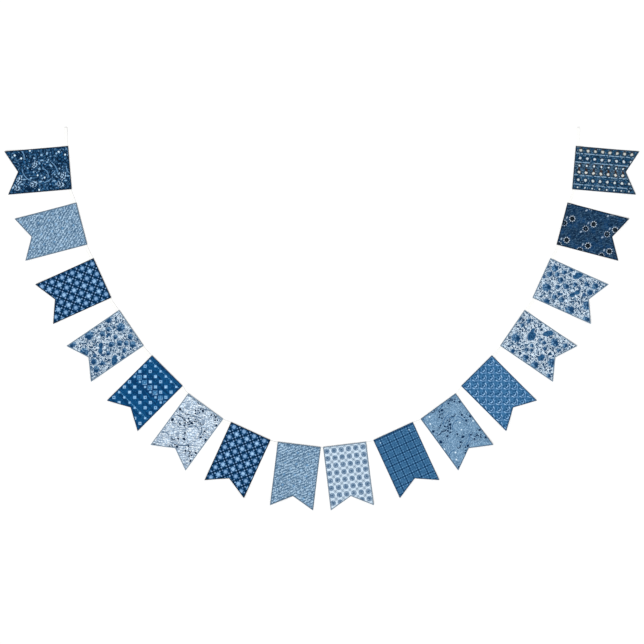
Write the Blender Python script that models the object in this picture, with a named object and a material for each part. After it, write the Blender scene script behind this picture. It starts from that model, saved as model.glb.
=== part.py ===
"""Fabric bunting: sixteen swallowtail flags of printed cloth, sewn by their top edges onto one white woven tape.

The bunting lies flat in a deep swag. X runs across the swag, Y runs up it and Z is up from the surface that it
lies on. The origin is on that surface, at the middle of the bunting's outline.
"""

import math
from collections import namedtuple

import bmesh
import bpy
from mathutils import Vector

MM = 0.001

# One flag: a rectangle with a V cut into its lower edge
FLAG_WIDTH = 140 * MM
FLAG_LENGTH = 206 * MM
NOTCH_DEPTH = 38 * MM
CLOTH_THICKNESS = 1.0 * MM

# The tape that carries the flags
TAPE_WIDTH = 10 * MM
TAPE_THICKNESS = 1.0 * MM
TAPE_INSET = 1.0 * MM  # the flags' top edges stand this far past the tape's inner edge
TAIL_LENGTH = 60 * MM  # free tape beyond each end flag
TAIL_RISE = 91.0  # degrees
CLEARANCE = 0.3 * MM  # between a flag and the tape under it

# Where a flag comes down from the tape to the surface, measured down from its top edge
SEAT_END = 12 * MM
EASE_MIDDLE = 22 * MM
EASE_END = 34 * MM

# How far a lifted tip and a ripple reach over the cloth
TIP_REACH = 80 * MM
RIPPLE_REACH = 34 * MM
RIPPLE_START = 60 * MM

FLAG_COLUMNS = 8
FLAG_ROWS_BELOW = 8
GAP_STEPS = 5

# One half of the swag, from its middle to its end. The other half mirrors it.
# gap: the bare tape before the flag, in mm, and gap_rise its slope in degrees
# flag_rise: the slope of the flag's top edge in degrees
Hang = namedtuple("Hang", "gap gap_rise flag_rise")
SWAG = (
    Hang(3.6, 0.0, 7.0),
    Hang(23.7, 13.2, 24.6),
    Hang(27.0, 21.3, 36.2),
    Hang(29.7, 53.2, 44.9),
    Hang(40.8, 49.1, 55.6),
    Hang(46.7, 57.2, 65.7),
    Hang(48.1, 65.8, 75.3),
    Hang(45.5, 71.1, 85.1),
)

# How each flag lies, from the left end of the swag to the right: the lift of its two tips and the height of one
# soft ripple in mm, and the ripple's place across the flag as a share of half its width
Lie = namedtuple("Lie", "print_name left_tip right_tip ripple ripple_place")
LIES = (
    Lie("vine_navy", 3.0, 1.2, 1.8, 0.25),
    Lie("streak_pale", 1.0, 2.6, 2.2, -0.35),
    Lie("lattice_navy", 2.2, 0.8, 1.5, 0.45),
    Lie("bloom_white", 0.9, 3.2, 2.4, -0.10),
    Lie("diamond_blue", 2.8, 1.6, 1.6, 0.35),
    Lie("sprig_white", 1.4, 2.0, 2.0, -0.50),
    Lie("lattice_navy", 2.0, 3.4, 1.4, 0.10),
    Lie("streak_pale", 3.1, 1.0, 2.1, -0.30),
    Lie("rosette_pale", 1.2, 2.4, 1.7, 0.40),
    Lie("check_blue", 2.5, 1.8, 2.3, -0.20),
    Lie("sprig_blue", 0.8, 2.9, 1.5, 0.30),
    Lie("scallop_blue", 2.7, 1.1, 1.9, -0.45),
    Lie("bloom_white", 1.6, 2.2, 2.5, 0.15),
    Lie("bloom_white", 3.3, 0.9, 1.6, -0.25),
    Lie("daisy_navy", 1.3, 2.7, 2.0, 0.50),
    Lie("bead_stripe", 2.4, 1.5, 1.8, -0.15),
)

# Each print's colour as seen from a distance, in sRGB
PRINT_COLOURS = {
    "vine_navy": "#395C7B",
    "streak_pale": "#7A98B3",
    "lattice_navy": "#3B6284",
    "bloom_white": "#7A96AE",
    "diamond_blue": "#306491",
    "sprig_white": "#ADC1D4",
    "rosette_pale": "#A0B4C6",
    "check_blue": "#39658C",
    "sprig_blue": "#7394B1",
    "scallop_blue": "#4C779C",
    "daisy_navy": "#2C465E",
    "bead_stripe": "#4B6477",
}
TAPE_COLOUR = "#F6F6F4"
CLOTH_ROUGHNESS = 0.85


def linear_rgb(hex_colour):
    """An sRGB hex colour as linear red, green and blue."""
    channels = (int(hex_colour[i : i + 2], 16) / 255 for i in (1, 3, 5))
    return [c / 12.92 if c <= 0.04045 else ((c + 0.055) / 1.055) ** 2.4 for c in channels]


def cloth_material(name, hex_colour):
    """A plain matt cloth of one colour, made once and then shared."""
    known = bpy.data.materials.get(name)
    if known:
        return known
    material = bpy.data.materials.new(name)
    material.use_nodes = True
    shader = material.node_tree.nodes["Principled BSDF"]
    shader.inputs["Base Color"].default_value = (*linear_rgb(hex_colour), 1)
    shader.inputs["Roughness"].default_value = CLOTH_ROUGHNESS
    shader.inputs["Metallic"].default_value = 0
    return material


def eased(value, start, end):
    """0 up to start and 1 from end on, with a smooth rise between them."""
    share = min(max((value - start) / (end - start), 0), 1)
    return share * share * (3 - 2 * share)


def along(rise):
    """The direction of a line that rises by this many degrees towards +X."""
    return Vector((math.cos(math.radians(rise)), math.sin(math.radians(rise))))


def below(rise):
    """The direction at right angles to such a line, on the side where the flags lie."""
    return Vector((math.sin(math.radians(rise)), -math.cos(math.radians(rise))))


def half_swag():
    """The start and end of each flag's top edge with its rise, from the middle of the swag to one end."""
    point = Vector((0, 0))
    edges = []
    for hang in SWAG:
        start = point + hang.gap * MM * along(hang.gap_rise)
        point = start + FLAG_WIDTH * along(hang.flag_rise)
        edges.append((start, point, hang.flag_rise))
    return edges


def bend(start, start_rise, end, end_rise, steps):
    """Points of a smooth curve that leaves start and reaches end along the two rises, without its start."""
    reach = (end - start).length
    leave = reach * along(start_rise)
    arrive = reach * along(end_rise)
    points = []
    for step in range(1, steps + 1):
        t = step / steps
        points.append(
            (2 * t**3 - 3 * t**2 + 1) * start
            + (t**3 - 2 * t**2 + t) * leave
            + (3 * t**2 - 2 * t**3) * end
            + (t**3 - t**2) * arrive
        )
    return points


def half_tape():
    """The middle line of the tape from the middle of the swag to one free end."""
    drop = TAPE_INSET + TAPE_WIDTH / 2
    rise = 0.0
    line = [drop * below(rise)]
    for start, end, flag_rise in half_swag():
        line += bend(line[-1], rise, start + drop * below(flag_rise), flag_rise, GAP_STEPS)
        line.append(end + drop * below(flag_rise))
        rise = flag_rise
    tail_end = line[-1] + TAIL_LENGTH * along((rise + TAIL_RISE) / 2)
    return line + bend(line[-1], rise, tail_end, TAIL_RISE, GAP_STEPS)


def mirrored(point):
    """The same point on the other half of the swag."""
    return Vector((-point.x, point.y))


def tape_edges():
    """The two edges of the whole tape, from its left end to its right end."""
    half = half_tape()
    line = [mirrored(p) for p in reversed(half[1:])] + half
    edges = []
    for side in (1, -1):
        edge = []
        for i, point in enumerate(line):
            run = line[min(i + 1, len(line) - 1)] - line[max(i - 1, 0)]
            across = Vector((-run.y, run.x)).normalized()
            edge.append(point + side * TAPE_WIDTH / 2 * across)
        edges.append(edge)
    return edges


def flag_places():
    """The middle of each flag's top edge and its rise, from the left end of the swag to the right."""
    right = [((start + end) / 2, rise) for start, end, rise in half_swag()]
    left = [(mirrored(point), -rise) for point, rise in reversed(right)]
    return left + right


def outline_middle():
    """The middle of the box round the whole outline, which is put at the origin."""
    points = [p for edge in tape_edges() for p in edge]
    for place, rise in flag_places():
        for side in (-1, 1):
            points.append(place + side * FLAG_WIDTH / 2 * along(rise) + FLAG_LENGTH * below(rise))
    low = Vector((min(p.x for p in points), min(p.y for p in points)))
    high = Vector((max(p.x for p in points), max(p.y for p in points)))
    return (low + high) / 2


def lie_height(lie, across, down):
    """How high a flag's underside is above the surface, at a place measured from the middle of its top edge."""
    seat = (TAPE_THICKNESS + CLEARANCE) * (1 - eased(down, SEAT_END, EASE_END))
    tips = 0
    for side, lift in ((-1, lie.left_tip), (1, lie.right_tip)):
        distance = math.hypot(across - side * FLAG_WIDTH / 2, down - FLAG_LENGTH)
        tips += lift * MM * (1 - eased(distance, 0, TIP_REACH))
    off_ripple = abs(across - lie.ripple_place * FLAG_WIDTH / 2)
    ripple = lie.ripple * MM * (1 - eased(off_ripple, 0, RIPPLE_REACH)) * eased(down, RIPPLE_START, FLAG_LENGTH)
    return seat + tips + ripple


def flag_rows(across):
    """How far down each row of the flag's mesh lies at a place across it. The last row follows the V of the notch."""
    length = FLAG_LENGTH - NOTCH_DEPTH * (1 - 2 * abs(across) / FLAG_WIDTH)
    step = (length - EASE_END) / FLAG_ROWS_BELOW
    return [0, SEAT_END, EASE_MIDDLE] + [EASE_END + step * i for i in range(FLAG_ROWS_BELOW + 1)]


def finished(name, mesh_source, material, thickness):
    """An object whose sheet of faces is thickened upwards into one closed solid."""
    mesh = bpy.data.meshes.new(name)
    mesh_source.normal_update()
    mesh_source.to_mesh(mesh)
    mesh_source.free()
    mesh.materials.append(material)
    piece = bpy.data.objects.new(name, mesh)
    bpy.context.scene.collection.objects.link(piece)
    solid = piece.modifiers.new("thickness", "SOLIDIFY")
    solid.thickness = thickness
    solid.offset = 1
    mesh.shade_smooth()
    mesh.set_sharp_from_angle(angle=math.radians(35))
    return piece


def sheet_of(columns):
    """A bmesh of quads over columns of points, each column from its first row to its last, facing up."""
    source = bmesh.new()
    grid = [[source.verts.new(point) for point in column] for column in columns]
    for left, right in zip(grid, grid[1:]):
        for upper, lower in zip(range(len(left)), range(1, len(left))):
            source.faces.new((left[upper], left[lower], right[lower], right[upper]))
    return source


def make_flag(number, lie, place, rise):
    """One flag, with its own origin at the middle of its top edge."""
    columns = []
    for column in range(FLAG_COLUMNS + 1):
        across = (column / FLAG_COLUMNS - 0.5) * FLAG_WIDTH
        columns.append([(across, -down, lie_height(lie, across, down)) for down in flag_rows(across)])
    material = cloth_material(lie.print_name, PRINT_COLOURS[lie.print_name])
    flag = finished(f"flag_{number:02d}", sheet_of(columns), material, CLOTH_THICKNESS)
    flag.location = (place.x, place.y, 0)
    flag.rotation_euler.z = math.radians(rise)
    return flag


def make_tape(middle):
    """The tape, flat on the surface from one free end to the other."""
    upper, lower = tape_edges()
    columns = []
    for a, b in zip(upper, lower):
        columns.append([(a.x - middle.x, a.y - middle.y, 0), (b.x - middle.x, b.y - middle.y, 0)])
    return finished("tape", sheet_of(columns), cloth_material("tape", TAPE_COLOUR), TAPE_THICKNESS)


def main():
    for old in list(bpy.data.objects):
        bpy.data.objects.remove(old)
    middle = outline_middle()
    make_tape(middle)
    for number, (lie, (place, rise)) in enumerate(zip(LIES, flag_places()), start=1):
        make_flag(number, lie, place - middle, rise)


main()
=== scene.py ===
"""Fabric bunting: sixteen swallowtail flags of printed cotton on a white woven tape, laid in a deep swag.

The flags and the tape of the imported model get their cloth, prints and stitches here. Lengths are in metres.
Prints are drawn in millimetres on each flag's own map, across from its left edge and down from its top edge.
"""

import math
from collections import namedtuple

import bpy
from bpy.props import FloatProperty, FloatVectorProperty, IntProperty, PointerProperty
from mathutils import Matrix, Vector


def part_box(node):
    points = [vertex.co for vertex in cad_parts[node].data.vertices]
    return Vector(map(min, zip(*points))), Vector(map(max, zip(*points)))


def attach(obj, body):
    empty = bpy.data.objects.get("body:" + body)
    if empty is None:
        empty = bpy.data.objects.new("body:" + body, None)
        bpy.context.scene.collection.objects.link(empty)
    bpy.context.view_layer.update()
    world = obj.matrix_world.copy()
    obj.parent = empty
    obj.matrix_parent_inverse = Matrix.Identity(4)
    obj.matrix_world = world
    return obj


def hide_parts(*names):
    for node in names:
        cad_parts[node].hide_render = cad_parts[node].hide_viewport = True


bl_info = {
    "name": "Fabric bunting",
    "version": (1, 0, 0),
    "blender": (4, 5, 0),
    "location": "3D View > Sidebar > Bunting",
    "description": "Makes the printed flags, the tape and the stitches of a bunting round its packed model",
    "category": "Object",
}

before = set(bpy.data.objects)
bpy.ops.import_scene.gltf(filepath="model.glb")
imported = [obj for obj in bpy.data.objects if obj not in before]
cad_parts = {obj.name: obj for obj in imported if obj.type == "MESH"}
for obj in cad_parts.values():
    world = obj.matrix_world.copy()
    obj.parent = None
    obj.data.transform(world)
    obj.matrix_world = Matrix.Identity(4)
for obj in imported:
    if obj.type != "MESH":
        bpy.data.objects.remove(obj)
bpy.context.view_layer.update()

MM = 0.001
TAPE_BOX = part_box("tape")

# The photograph's frame: its width and a flag's width in it, in pixels, and how far its middle is from the
# bunting's, in mm
PHOTO_PIXELS = 644
FLAG_PIXELS = 43.4
PHOTO_MIDDLE = (0.3, -9.8)

# One half of the swag, from its middle to its end. The other half mirrors it.
# gap: the bare tape before the flag, in mm, and gap_rise its slope in degrees
# flag_rise: the slope of the flag's top edge in degrees
Hang = namedtuple("Hang", "gap gap_rise flag_rise")
SWAG = (
    Hang(3.6, 0.0, 7.0),
    Hang(23.7, 13.2, 24.6),
    Hang(27.0, 21.3, 36.2),
    Hang(29.7, 53.2, 44.9),
    Hang(40.8, 49.1, 55.6),
    Hang(46.7, 57.2, 65.7),
    Hang(48.1, 65.8, 75.3),
    Hang(45.5, 71.1, 85.1),
)
TAIL_RISE = 91.0  # the slope of the tape's free end, in degrees
CURL_START = 0.2  # the share of the free end that stays flat before it curls up
LEVEL_NORMAL = 0.5  # the least Z of the normal of a face that lies level


def linear_rgb(hex_colour):
    """An sRGB hex colour as linear red, green and blue."""
    channels = (int(hex_colour[i : i + 2], 16) / 255 for i in (1, 3, 5))
    return [c / 12.92 if c <= 0.04045 else ((c + 0.055) / 1.055) ** 2.4 for c in channels]


def named_rows(kind, *rows):
    """The same rows, with their numbers named."""
    return [kind(*row) for row in rows]


def eased(value, start, end):
    """0 up to start and 1 from end on, with a smooth rise between them."""
    share = min(max((value - start) / (end - start), 0), 1)
    return share * share * (3 - 2 * share)


# The swag's layout


def along(rise):
    """The direction of a line that rises by this many degrees towards +X."""
    return Vector((math.cos(math.radians(rise)), math.sin(math.radians(rise))))


def below(rise):
    """The direction at right angles to such a line, on the side where the flags lie."""
    return Vector((math.sin(math.radians(rise)), -math.cos(math.radians(rise))))


def mirrored(point):
    """The same point on the other half of the swag."""
    return Vector((-point.x, point.y))


def half_swag(flags):
    """The start and end of each flag's top edge with its rise, from the middle of the swag to one end."""
    point = Vector((0, 0))
    edges = []
    for hang in SWAG:
        start = point + hang.gap * MM * along(hang.gap_rise)
        point = start + flags.width * along(hang.flag_rise)
        edges.append((start, point, hang.flag_rise))
    return edges


def swag_middle(tape):
    """Where the middle of the swag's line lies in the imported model. The tape there is its lowest stretch."""
    return Vector((0, TAPE_BOX[0][1] + tape.inset + tape.width))


def flag_places(flags, tape):
    """The middle of each flag's top edge and its rise, from the left end of the swag to the right."""
    right = [((start + end) / 2, rise) for start, end, rise in half_swag(flags)]
    left = [(mirrored(point), -rise) for point, rise in reversed(right)]
    return [(point + swag_middle(tape), rise) for point, rise in left + right]


def bend(start, start_rise, end, end_rise, steps):
    """Points of a smooth curve that leaves start and reaches end along the two rises, without its start."""
    reach = (end - start).length
    leave = reach * along(start_rise)
    arrive = reach * along(end_rise)
    points = []
    for step in range(1, steps + 1):
        t = step / steps
        points.append(
            (2 * t**3 - 3 * t**2 + 1) * start
            + (t**3 - 2 * t**2 + t) * leave
            + (3 * t**2 - 2 * t**3) * end
            + (t**3 - t**2) * arrive
        )
    return points


# A point of the tape's middle line: its place, how freely the tape ruffles there, and how far it curls up
Stop = namedtuple("Stop", "place ruffle curl")


def half_tape(flags, tape):
    """The stops of the tape from the middle of the swag to one free end."""
    drop = tape.inset + tape.width / 2
    rise = 0.0
    point = drop * below(rise)
    stops = [Stop(point, 0, 0)]
    for start, end, flag_rise in half_swag(flags):
        turn = math.radians(abs(flag_rise - rise))
        gap = bend(point, rise, start + drop * below(flag_rise), flag_rise, tape.gap_steps)
        for step, place in enumerate(gap, start=1):
            stops.append(Stop(place, turn * math.sin(math.pi * step / tape.gap_steps) ** 2, 0))
        for step in range(1, tape.flag_steps + 1):
            stops.append(Stop(gap[-1].lerp(end + drop * below(flag_rise), step / tape.flag_steps), 0, 0))
        point = stops[-1].place
        rise = flag_rise
    tail_end = point + tape.tail * along((rise + TAIL_RISE) / 2)
    tail = bend(point, rise, tail_end, TAIL_RISE, tape.gap_steps)
    for step, place in enumerate(tail, start=1):
        stops.append(Stop(place, 0, eased(step / tape.gap_steps, CURL_START, 1)))
    return stops


def tape_stops(flags, tape):
    """The stops of the whole tape from its left end to its right end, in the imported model's place."""
    half = half_tape(flags, tape)
    left = [stop._replace(place=mirrored(stop.place)) for stop in reversed(half[1:])]
    return [stop._replace(place=stop.place + swag_middle(tape)) for stop in left + half]


def distances(points):
    """How far along a line each of its points is."""
    far = [0.0]
    for a, b in zip(points, points[1:]):
        far.append(far[-1] + (b - a).length)
    return far


# Modelling


def new_grid(name, columns, rows):
    """A square grid with its own map, and the column and row of each of its vertices."""
    bpy.ops.object.select_all(action="DESELECT")
    bpy.ops.mesh.primitive_grid_add(x_subdivisions=columns, y_subdivisions=rows, size=1)
    piece = bpy.context.object
    piece.name = name
    piece.data.name = name
    piece.data.uv_layers[0].name = "cloth"
    spots = []
    for vertex in piece.data.vertices:
        spots.append((round((vertex.co.x + 0.5) * columns), round((0.5 - vertex.co.y) * rows)))
    return piece, spots


def apply_modifier(piece, kind, **settings_of_it):
    """Adds a modifier and applies it at once."""
    modifier = piece.modifiers.new(kind.lower(), kind)
    for setting, value in settings_of_it.items():
        setattr(modifier, setting, value)
    bpy.ops.object.modifier_apply(modifier=modifier.name)


THICK_LINES = 2  # how many lines of a sheet's mesh, counted from its edge, get its full thickness
SHARP_ANGLE = 50  # degrees between two faces from which their edge is drawn sharp


def thicken(piece, thick_points, thickness, thin_share):
    """Gives a sheet its thickness upwards. Points other than the thick ones get only a share of it."""
    piece.vertex_groups.new(name="thick").add(thick_points, 1, "REPLACE")
    apply_modifier(
        piece,
        "SOLIDIFY",
        thickness=thickness,
        offset=1,
        vertex_group="thick",
        thickness_vertex_group=thin_share,
    )
    bpy.ops.object.shade_smooth_by_angle(angle=math.radians(SHARP_ANGLE))


def set_map(piece, name, spots):
    """Writes a UV map from a spot for each loop."""
    layer = piece.data.uv_layers.get(name) or piece.data.uv_layers.new(name=name)
    for index, spot_on_map in enumerate(spots):
        layer.data[index].uv = spot_on_map


def show_map(piece, name):
    """Makes one UV map the one that a viewer shows."""
    layer = piece.data.uv_layers[name]
    piece.data.uv_layers.active = layer
    layer.active_render = True


CELL_MARGIN = 0.1  # how far inside its cell of a map a face stays, as a share of the cell


def put_cell(spots, face, corner, width, height):
    """Puts a four-cornered face into a cell of a map, a little inside its sides."""
    near = CELL_MARGIN
    far = 1 - CELL_MARGIN
    for loop, (right, up) in zip(face.loop_indices, ((near, near), (far, near), (far, far), (near, far))):
        spots[loop] = (corner[0] + right * width, corner[1] + up * height)


# How a flag's baked map is shared out: its front is large, its back small, and its rim in cells over the back
MAP_MARGIN = 0.012
FRONT_SHARE = 0.97
BACK_SHARE = 0.44
RIM_COLUMNS = 24
RIM_CELL = 0.012


def map_flag_for_baking(piece, flags):
    """A second map, with the front large, the back smaller and a cell for each face of the rim."""
    cloth = piece.data.uv_layers["cloth"].data
    spots = [(0.0, 0.0)] * len(piece.data.loops)
    front_scale = FRONT_SHARE / (flags.length / MM)
    back_scale = BACK_SHARE / (flags.length / MM)
    back_left = 2 * MAP_MARGIN + flags.width / MM * front_scale
    rim_bottom = BACK_SHARE + 3 * MAP_MARGIN
    rim_count = 0
    for face in piece.data.polygons:
        if abs(face.normal.z) > LEVEL_NORMAL:
            scale, left = (front_scale, MAP_MARGIN) if face.normal.z > 0 else (back_scale, back_left)
            for loop in face.loop_indices:
                across, down = cloth[loop].uv
                spots[loop] = (left + across * scale, MAP_MARGIN + down * scale)
            continue
        row, column = divmod(rim_count, RIM_COLUMNS)
        rim_count += 1
        corner = (back_left + column * RIM_CELL, rim_bottom + row * RIM_CELL)
        put_cell(spots, face, corner, RIM_CELL, RIM_CELL)
    set_map(piece, "OFBake", spots)
    show_map(piece, "cloth")


def lie_height(lie, flags, tape, across, down):
    """How high a flag's underside is, at a place measured from the middle of its top edge."""
    seat = (tape.top + flags.clearance) * (1 - eased(down, flags.seat_end, flags.ease_end))
    tips = 0
    for side, lift in ((-1, lie.left_tip), (1, lie.right_tip)):
        distance = math.hypot(across - side * flags.width / 2, down - flags.length)
        tips += lift * MM * (1 - eased(distance, 0, flags.tip_reach))
    off_ripple = abs(across - lie.ripple_place * flags.width / 2)
    ripple = lie.ripple * MM * (1 - eased(off_ripple, 0, flags.ripple_reach))
    drawn_down = flags.seam_dip * math.exp(-(((down - flags.seam) / flags.seam_reach) ** 2))
    return seat + tips + ripple * eased(down, flags.ripple_start, flags.length) - drawn_down


# Where the close rows at the top of a flag's mesh lie, in widths of the overlocked edge
CLOSE_ROWS = (0, 0.5, 1, 1.5, 2, 2.5, 3.2, 4)


def rows_down(length, flags):
    """How far down each row of a flag's mesh lies: close at its edges and at the seam, and even between."""
    edge = flags.edge_width
    close = [row * edge for row in CLOSE_ROWS]
    rest = length - edge - close[-1]
    even = [close[-1] + rest * i / flags.rows for i in range(1, flags.rows + 1)]
    return close + even + [length - edge / 2, length]


def columns_across(flags):
    """How far across from its middle each column of a flag's mesh lies."""
    edge = flags.edge_width
    half = flags.width / 2
    inner = flags.width - 2 * edge
    even = [edge - half + inner * i / flags.columns for i in range(flags.columns + 1)]
    return [-half, edge / 2 - half] + even + [half - edge / 2, half]


def make_flag(number, lie, place, rise, flags, tape):
    """One flag, cut, overlocked and laid in its place."""
    columns = columns_across(flags)
    last_row = len(rows_down(flags.length, flags)) - 1
    piece, spots = new_grid(f"printed_flag_{number:02d}", len(columns) - 1, last_row)
    thick_points = []
    map_spots = []
    for vertex, (column, row) in zip(piece.data.vertices, spots):
        across = columns[column]
        length = flags.length - flags.notch_depth * (1 - 2 * abs(across) / flags.width)
        down = rows_down(length, flags)[row]
        flat = place + across * along(rise) + down * below(rise)
        vertex.co = (flat.x, flat.y, lie_height(lie, flags, tape, across, down))
        map_spots.append(((across + flags.width / 2) / MM, down / MM))
        if min(column, row, len(columns) - 1 - column, last_row - row) < THICK_LINES:
            thick_points.append(vertex.index)
    set_map(piece, "cloth", [map_spots[loop.vertex_index] for loop in piece.data.loops])
    thicken(piece, thick_points, flags.edge_thickness, flags.cloth_thickness / flags.edge_thickness)
    wrong_side = piece.data.attributes.new("wrong_side", "FLOAT", "FACE")
    for face in piece.data.polygons:
        wrong_side.data[face.index].value = face.normal.z < -LEVEL_NORMAL
    map_flag_for_baking(piece, flags)
    return piece


def make_tape(flags, tape):
    """The tape, ruffled along its inner edge where it bends, and its length."""
    stops = tape_stops(flags, tape)
    places = [stop.place for stop in stops]
    far = distances(places)
    rows = [0, tape.selvedge, 2 * tape.selvedge]
    rows += [rows[-1] + (tape.width - 2 * rows[-1]) * i / tape.rows for i in range(1, tape.rows + 1)]
    rows += [tape.width - tape.selvedge, tape.width]
    piece, spots = new_grid("woven_tape", len(stops) - 1, len(rows) - 1)
    thick_points = []
    map_spots = []
    for vertex, (column, row) in zip(piece.data.vertices, spots):
        stop = stops[column]
        run = places[min(column + 1, len(places) - 1)] - places[max(column - 1, 0)]
        inward = Vector((-run.y, run.x)).normalized()
        flat = stop.place + (tape.width / 2 - rows[row]) * inward
        inner_share = 1 - rows[row] / tape.width
        wave = (1 - math.cos(2 * math.pi * far[column] / tape.ruffle_pitch)) / 2
        lift = tape.ruffle * stop.ruffle * wave * inner_share**2 + tape.curl * stop.curl
        vertex.co = (flat.x, flat.y, tape.top - tape.thickness + lift)
        map_spots.append((far[column] / MM, rows[row] / MM))
        if min(row, len(rows) - 1 - row) < THICK_LINES:
            thick_points.append(vertex.index)
    set_map(piece, "cloth", [map_spots[loop.vertex_index] for loop in piece.data.loops])
    thicken(piece, thick_points, tape.thickness, tape.thin_share)
    return piece, far[-1]


# How the tape's baked map is shared out: each side of the tape is folded into rows, its cut ends are in cells
TAPE_ROWS = 10
TAPE_SIDE_SHARE = 0.405
TAPE_RIM_SHARE = 0.07
TAPE_MAP_BOTTOM = 0.005
TAPE_ROW_LEFT = 0.01
TAPE_ROW_SHARE = 0.96
END_CELL = (0.045, 0.02)
END_CELLS_BOTTOM = 0.976
NO_LENGTH = 0.001  # mm, less than any face of the tape has along it but those of its cut ends


def map_tape_for_baking(piece, tape, length):
    """A second map with the tape folded into rows: its top, its underside and its two rims."""
    cloth = piece.data.uv_layers["cloth"].data
    mesh = piece.data
    spots = [(0.0, 0.0)] * len(mesh.loops)
    row_length = length / MM / TAPE_ROWS
    width = tape.width / MM
    end_count = 0
    for face in mesh.polygons:
        uvs = [cloth[loop].uv for loop in face.loop_indices]
        start = min(uv.x for uv in uvs)
        if max(uv.x for uv in uvs) - start < NO_LENGTH:
            put_cell(spots, face, (end_count * END_CELL[0], END_CELLS_BOTTOM), *END_CELL)
            end_count += 1
            continue
        row = min(int(start / row_length), TAPE_ROWS - 1)
        level = face.normal.z
        if abs(level) > LEVEL_NORMAL:
            base = TAPE_MAP_BOTTOM + (0 if level > 0 else TAPE_SIDE_SHARE)
            share = TAPE_SIDE_SHARE
            ups = [uv.y / width for uv in uvs]
        else:
            inner = uvs[0].y < width / 2
            base = TAPE_MAP_BOTTOM + 2 * TAPE_SIDE_SHARE + (0 if inner else TAPE_RIM_SHARE)
            share = TAPE_RIM_SHARE
            heights = [mesh.vertices[mesh.loops[loop].vertex_index].co.z for loop in face.loop_indices]
            low, high = min(heights), max(heights)
            ups = [(height - low) / (high - low) for height in heights]
        for loop, uv, up in zip(face.loop_indices, uvs, ups):
            right = (uv.x - row * row_length) / row_length
            level_in_row = CELL_MARGIN + (1 - 2 * CELL_MARGIN) * up
            spots[loop] = (
                TAPE_ROW_LEFT + TAPE_ROW_SHARE * right,
                base + (row + level_in_row) * share / TAPE_ROWS,
            )
    set_map(piece, "OFBake", spots)
    show_map(piece, "cloth")


BOBBIN_DEPTH = 10  # how far under the needle's row the bobbin's is made, in thread widths


def make_stitch_row(flags):
    """A row of stitches along the middle of the X axis, with the bobbin's row under it."""
    bpy.ops.object.select_all(action="DESELECT")
    bpy.ops.mesh.primitive_uv_sphere_add(segments=8, ring_count=6, radius=0.5)
    row = bpy.context.object
    count = int(flags.width / flags.stitch_pitch)
    for vertex in row.data.vertices:
        # A sphere's poles are at its ends, so that the stitch is round across and pointed along
        x, y, z = vertex.co
        vertex.co = (z * flags.stitch_length, x * flags.stitch_width, y * flags.stitch_width)
        vertex.co.x -= (count - 1) / 2 * flags.stitch_pitch
    along_row = (flags.stitch_pitch, 0, 0)
    to_bobbin = (0, 0, -BOBBIN_DEPTH * flags.stitch_width)
    for copies, step in ((count, along_row), (2, to_bobbin)):
        apply_modifier(
            row,
            "ARRAY",
            count=copies,
            use_relative_offset=False,
            use_constant_offset=True,
            constant_offset_displace=step,
        )
    bpy.ops.object.shade_smooth()
    return row


def lay_stitches(row, number, lie, place, rise, flags, tape):
    """A copy of the stitch row laid along a flag's seam: on top of the flag, and under the tape."""
    piece = row.copy()
    piece.data = row.data.copy()
    piece.name = f"stitches_{number:02d}"
    bpy.context.scene.collection.objects.link(piece)
    for vertex in piece.data.vertices:
        x, y, z = vertex.co
        if z > -BOBBIN_DEPTH / 2 * flags.stitch_width:
            height = lie_height(lie, flags, tape, x, flags.seam) + flags.cloth_thickness + z
        else:
            height = tape.top - tape.thickness + (z + BOBBIN_DEPTH * flags.stitch_width) / 2
        flat = place + x * along(rise) + (flags.seam - y) * below(rise)
        vertex.co = (flat.x, flat.y, height)
    return piece


# How the loose threads at the tape's ends lie and differ
FRAY_SPREAD = 0.94  # the share of the tape's width that they take up
FRAY_ROOT = 0.6  # how far inside the tape they begin, in mm
FRAY_BEND = 0.25  # how far the most bent thread reaches aside, for its length
FRAY_BEND_STEP = 7.3  # radians of the wave that bends them, from one thread to the next
FRAY_END_STEP = 40  # radians of that wave for each metre across, so that the two ends differ
FRAY_UNEVEN = 0.25  # how much of their length is uneven, each way
FRAY_LENGTH_STEP = 2.1  # radians of the wave that makes it so, from one thread to the next
FRAY_DROP = 0.6  # the share of the tape's curl that their tips lose again


def make_fray(flags, tape):
    """Loose warp threads at the tape's two cut ends."""
    stops = tape_stops(flags, tape)
    threads = []
    for end, before in ((stops[0].place, stops[3].place), (stops[-1].place, stops[-4].place)):
        out = (end - before).normalized()
        side = Vector((-out.y, out.x))
        for i in range(tape.fray_count):
            share = (i + 0.5) / tape.fray_count - 0.5
            wander = math.sin(FRAY_BEND_STEP * i + FRAY_END_STEP * end.x)
            uneven = FRAY_UNEVEN * math.sin(FRAY_LENGTH_STEP * i + end.x)
            length = tape.fray_length * (1 - FRAY_UNEVEN + uneven)
            bpy.ops.object.select_all(action="DESELECT")
            bpy.ops.mesh.primitive_cylinder_add(
                vertices=6, radius=tape.fray_thread / 2, depth=length, end_fill_type="TRIFAN"
            )
            thread = bpy.context.object
            bpy.ops.object.mode_set(mode="EDIT")
            bpy.ops.mesh.select_all(action="SELECT")
            bpy.ops.mesh.bisect(plane_co=(0, 0, 0), plane_no=(0, 0, 1))
            bpy.ops.object.mode_set(mode="OBJECT")
            for vertex in thread.data.vertices:
                x, y, z = vertex.co
                run = z + length / 2
                bent = FRAY_BEND * wander * length * (run / length) ** 2
                aside = FRAY_SPREAD * share * tape.width + bent + x
                flat = end + (run - FRAY_ROOT * MM) * out + aside * side
                lift = tape.curl * (1 - FRAY_DROP * (run / length) ** 2)
                vertex.co = (flat.x, flat.y, tape.top - tape.thickness / 2 + lift + y)
            threads.append(thread)
    for thread in threads:
        thread.select_set(True)
    bpy.context.view_layer.objects.active = threads[0]
    bpy.ops.object.join()
    bpy.ops.object.shade_smooth()
    fray = bpy.context.object
    fray.name = "frayed_ends"
    return fray


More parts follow.
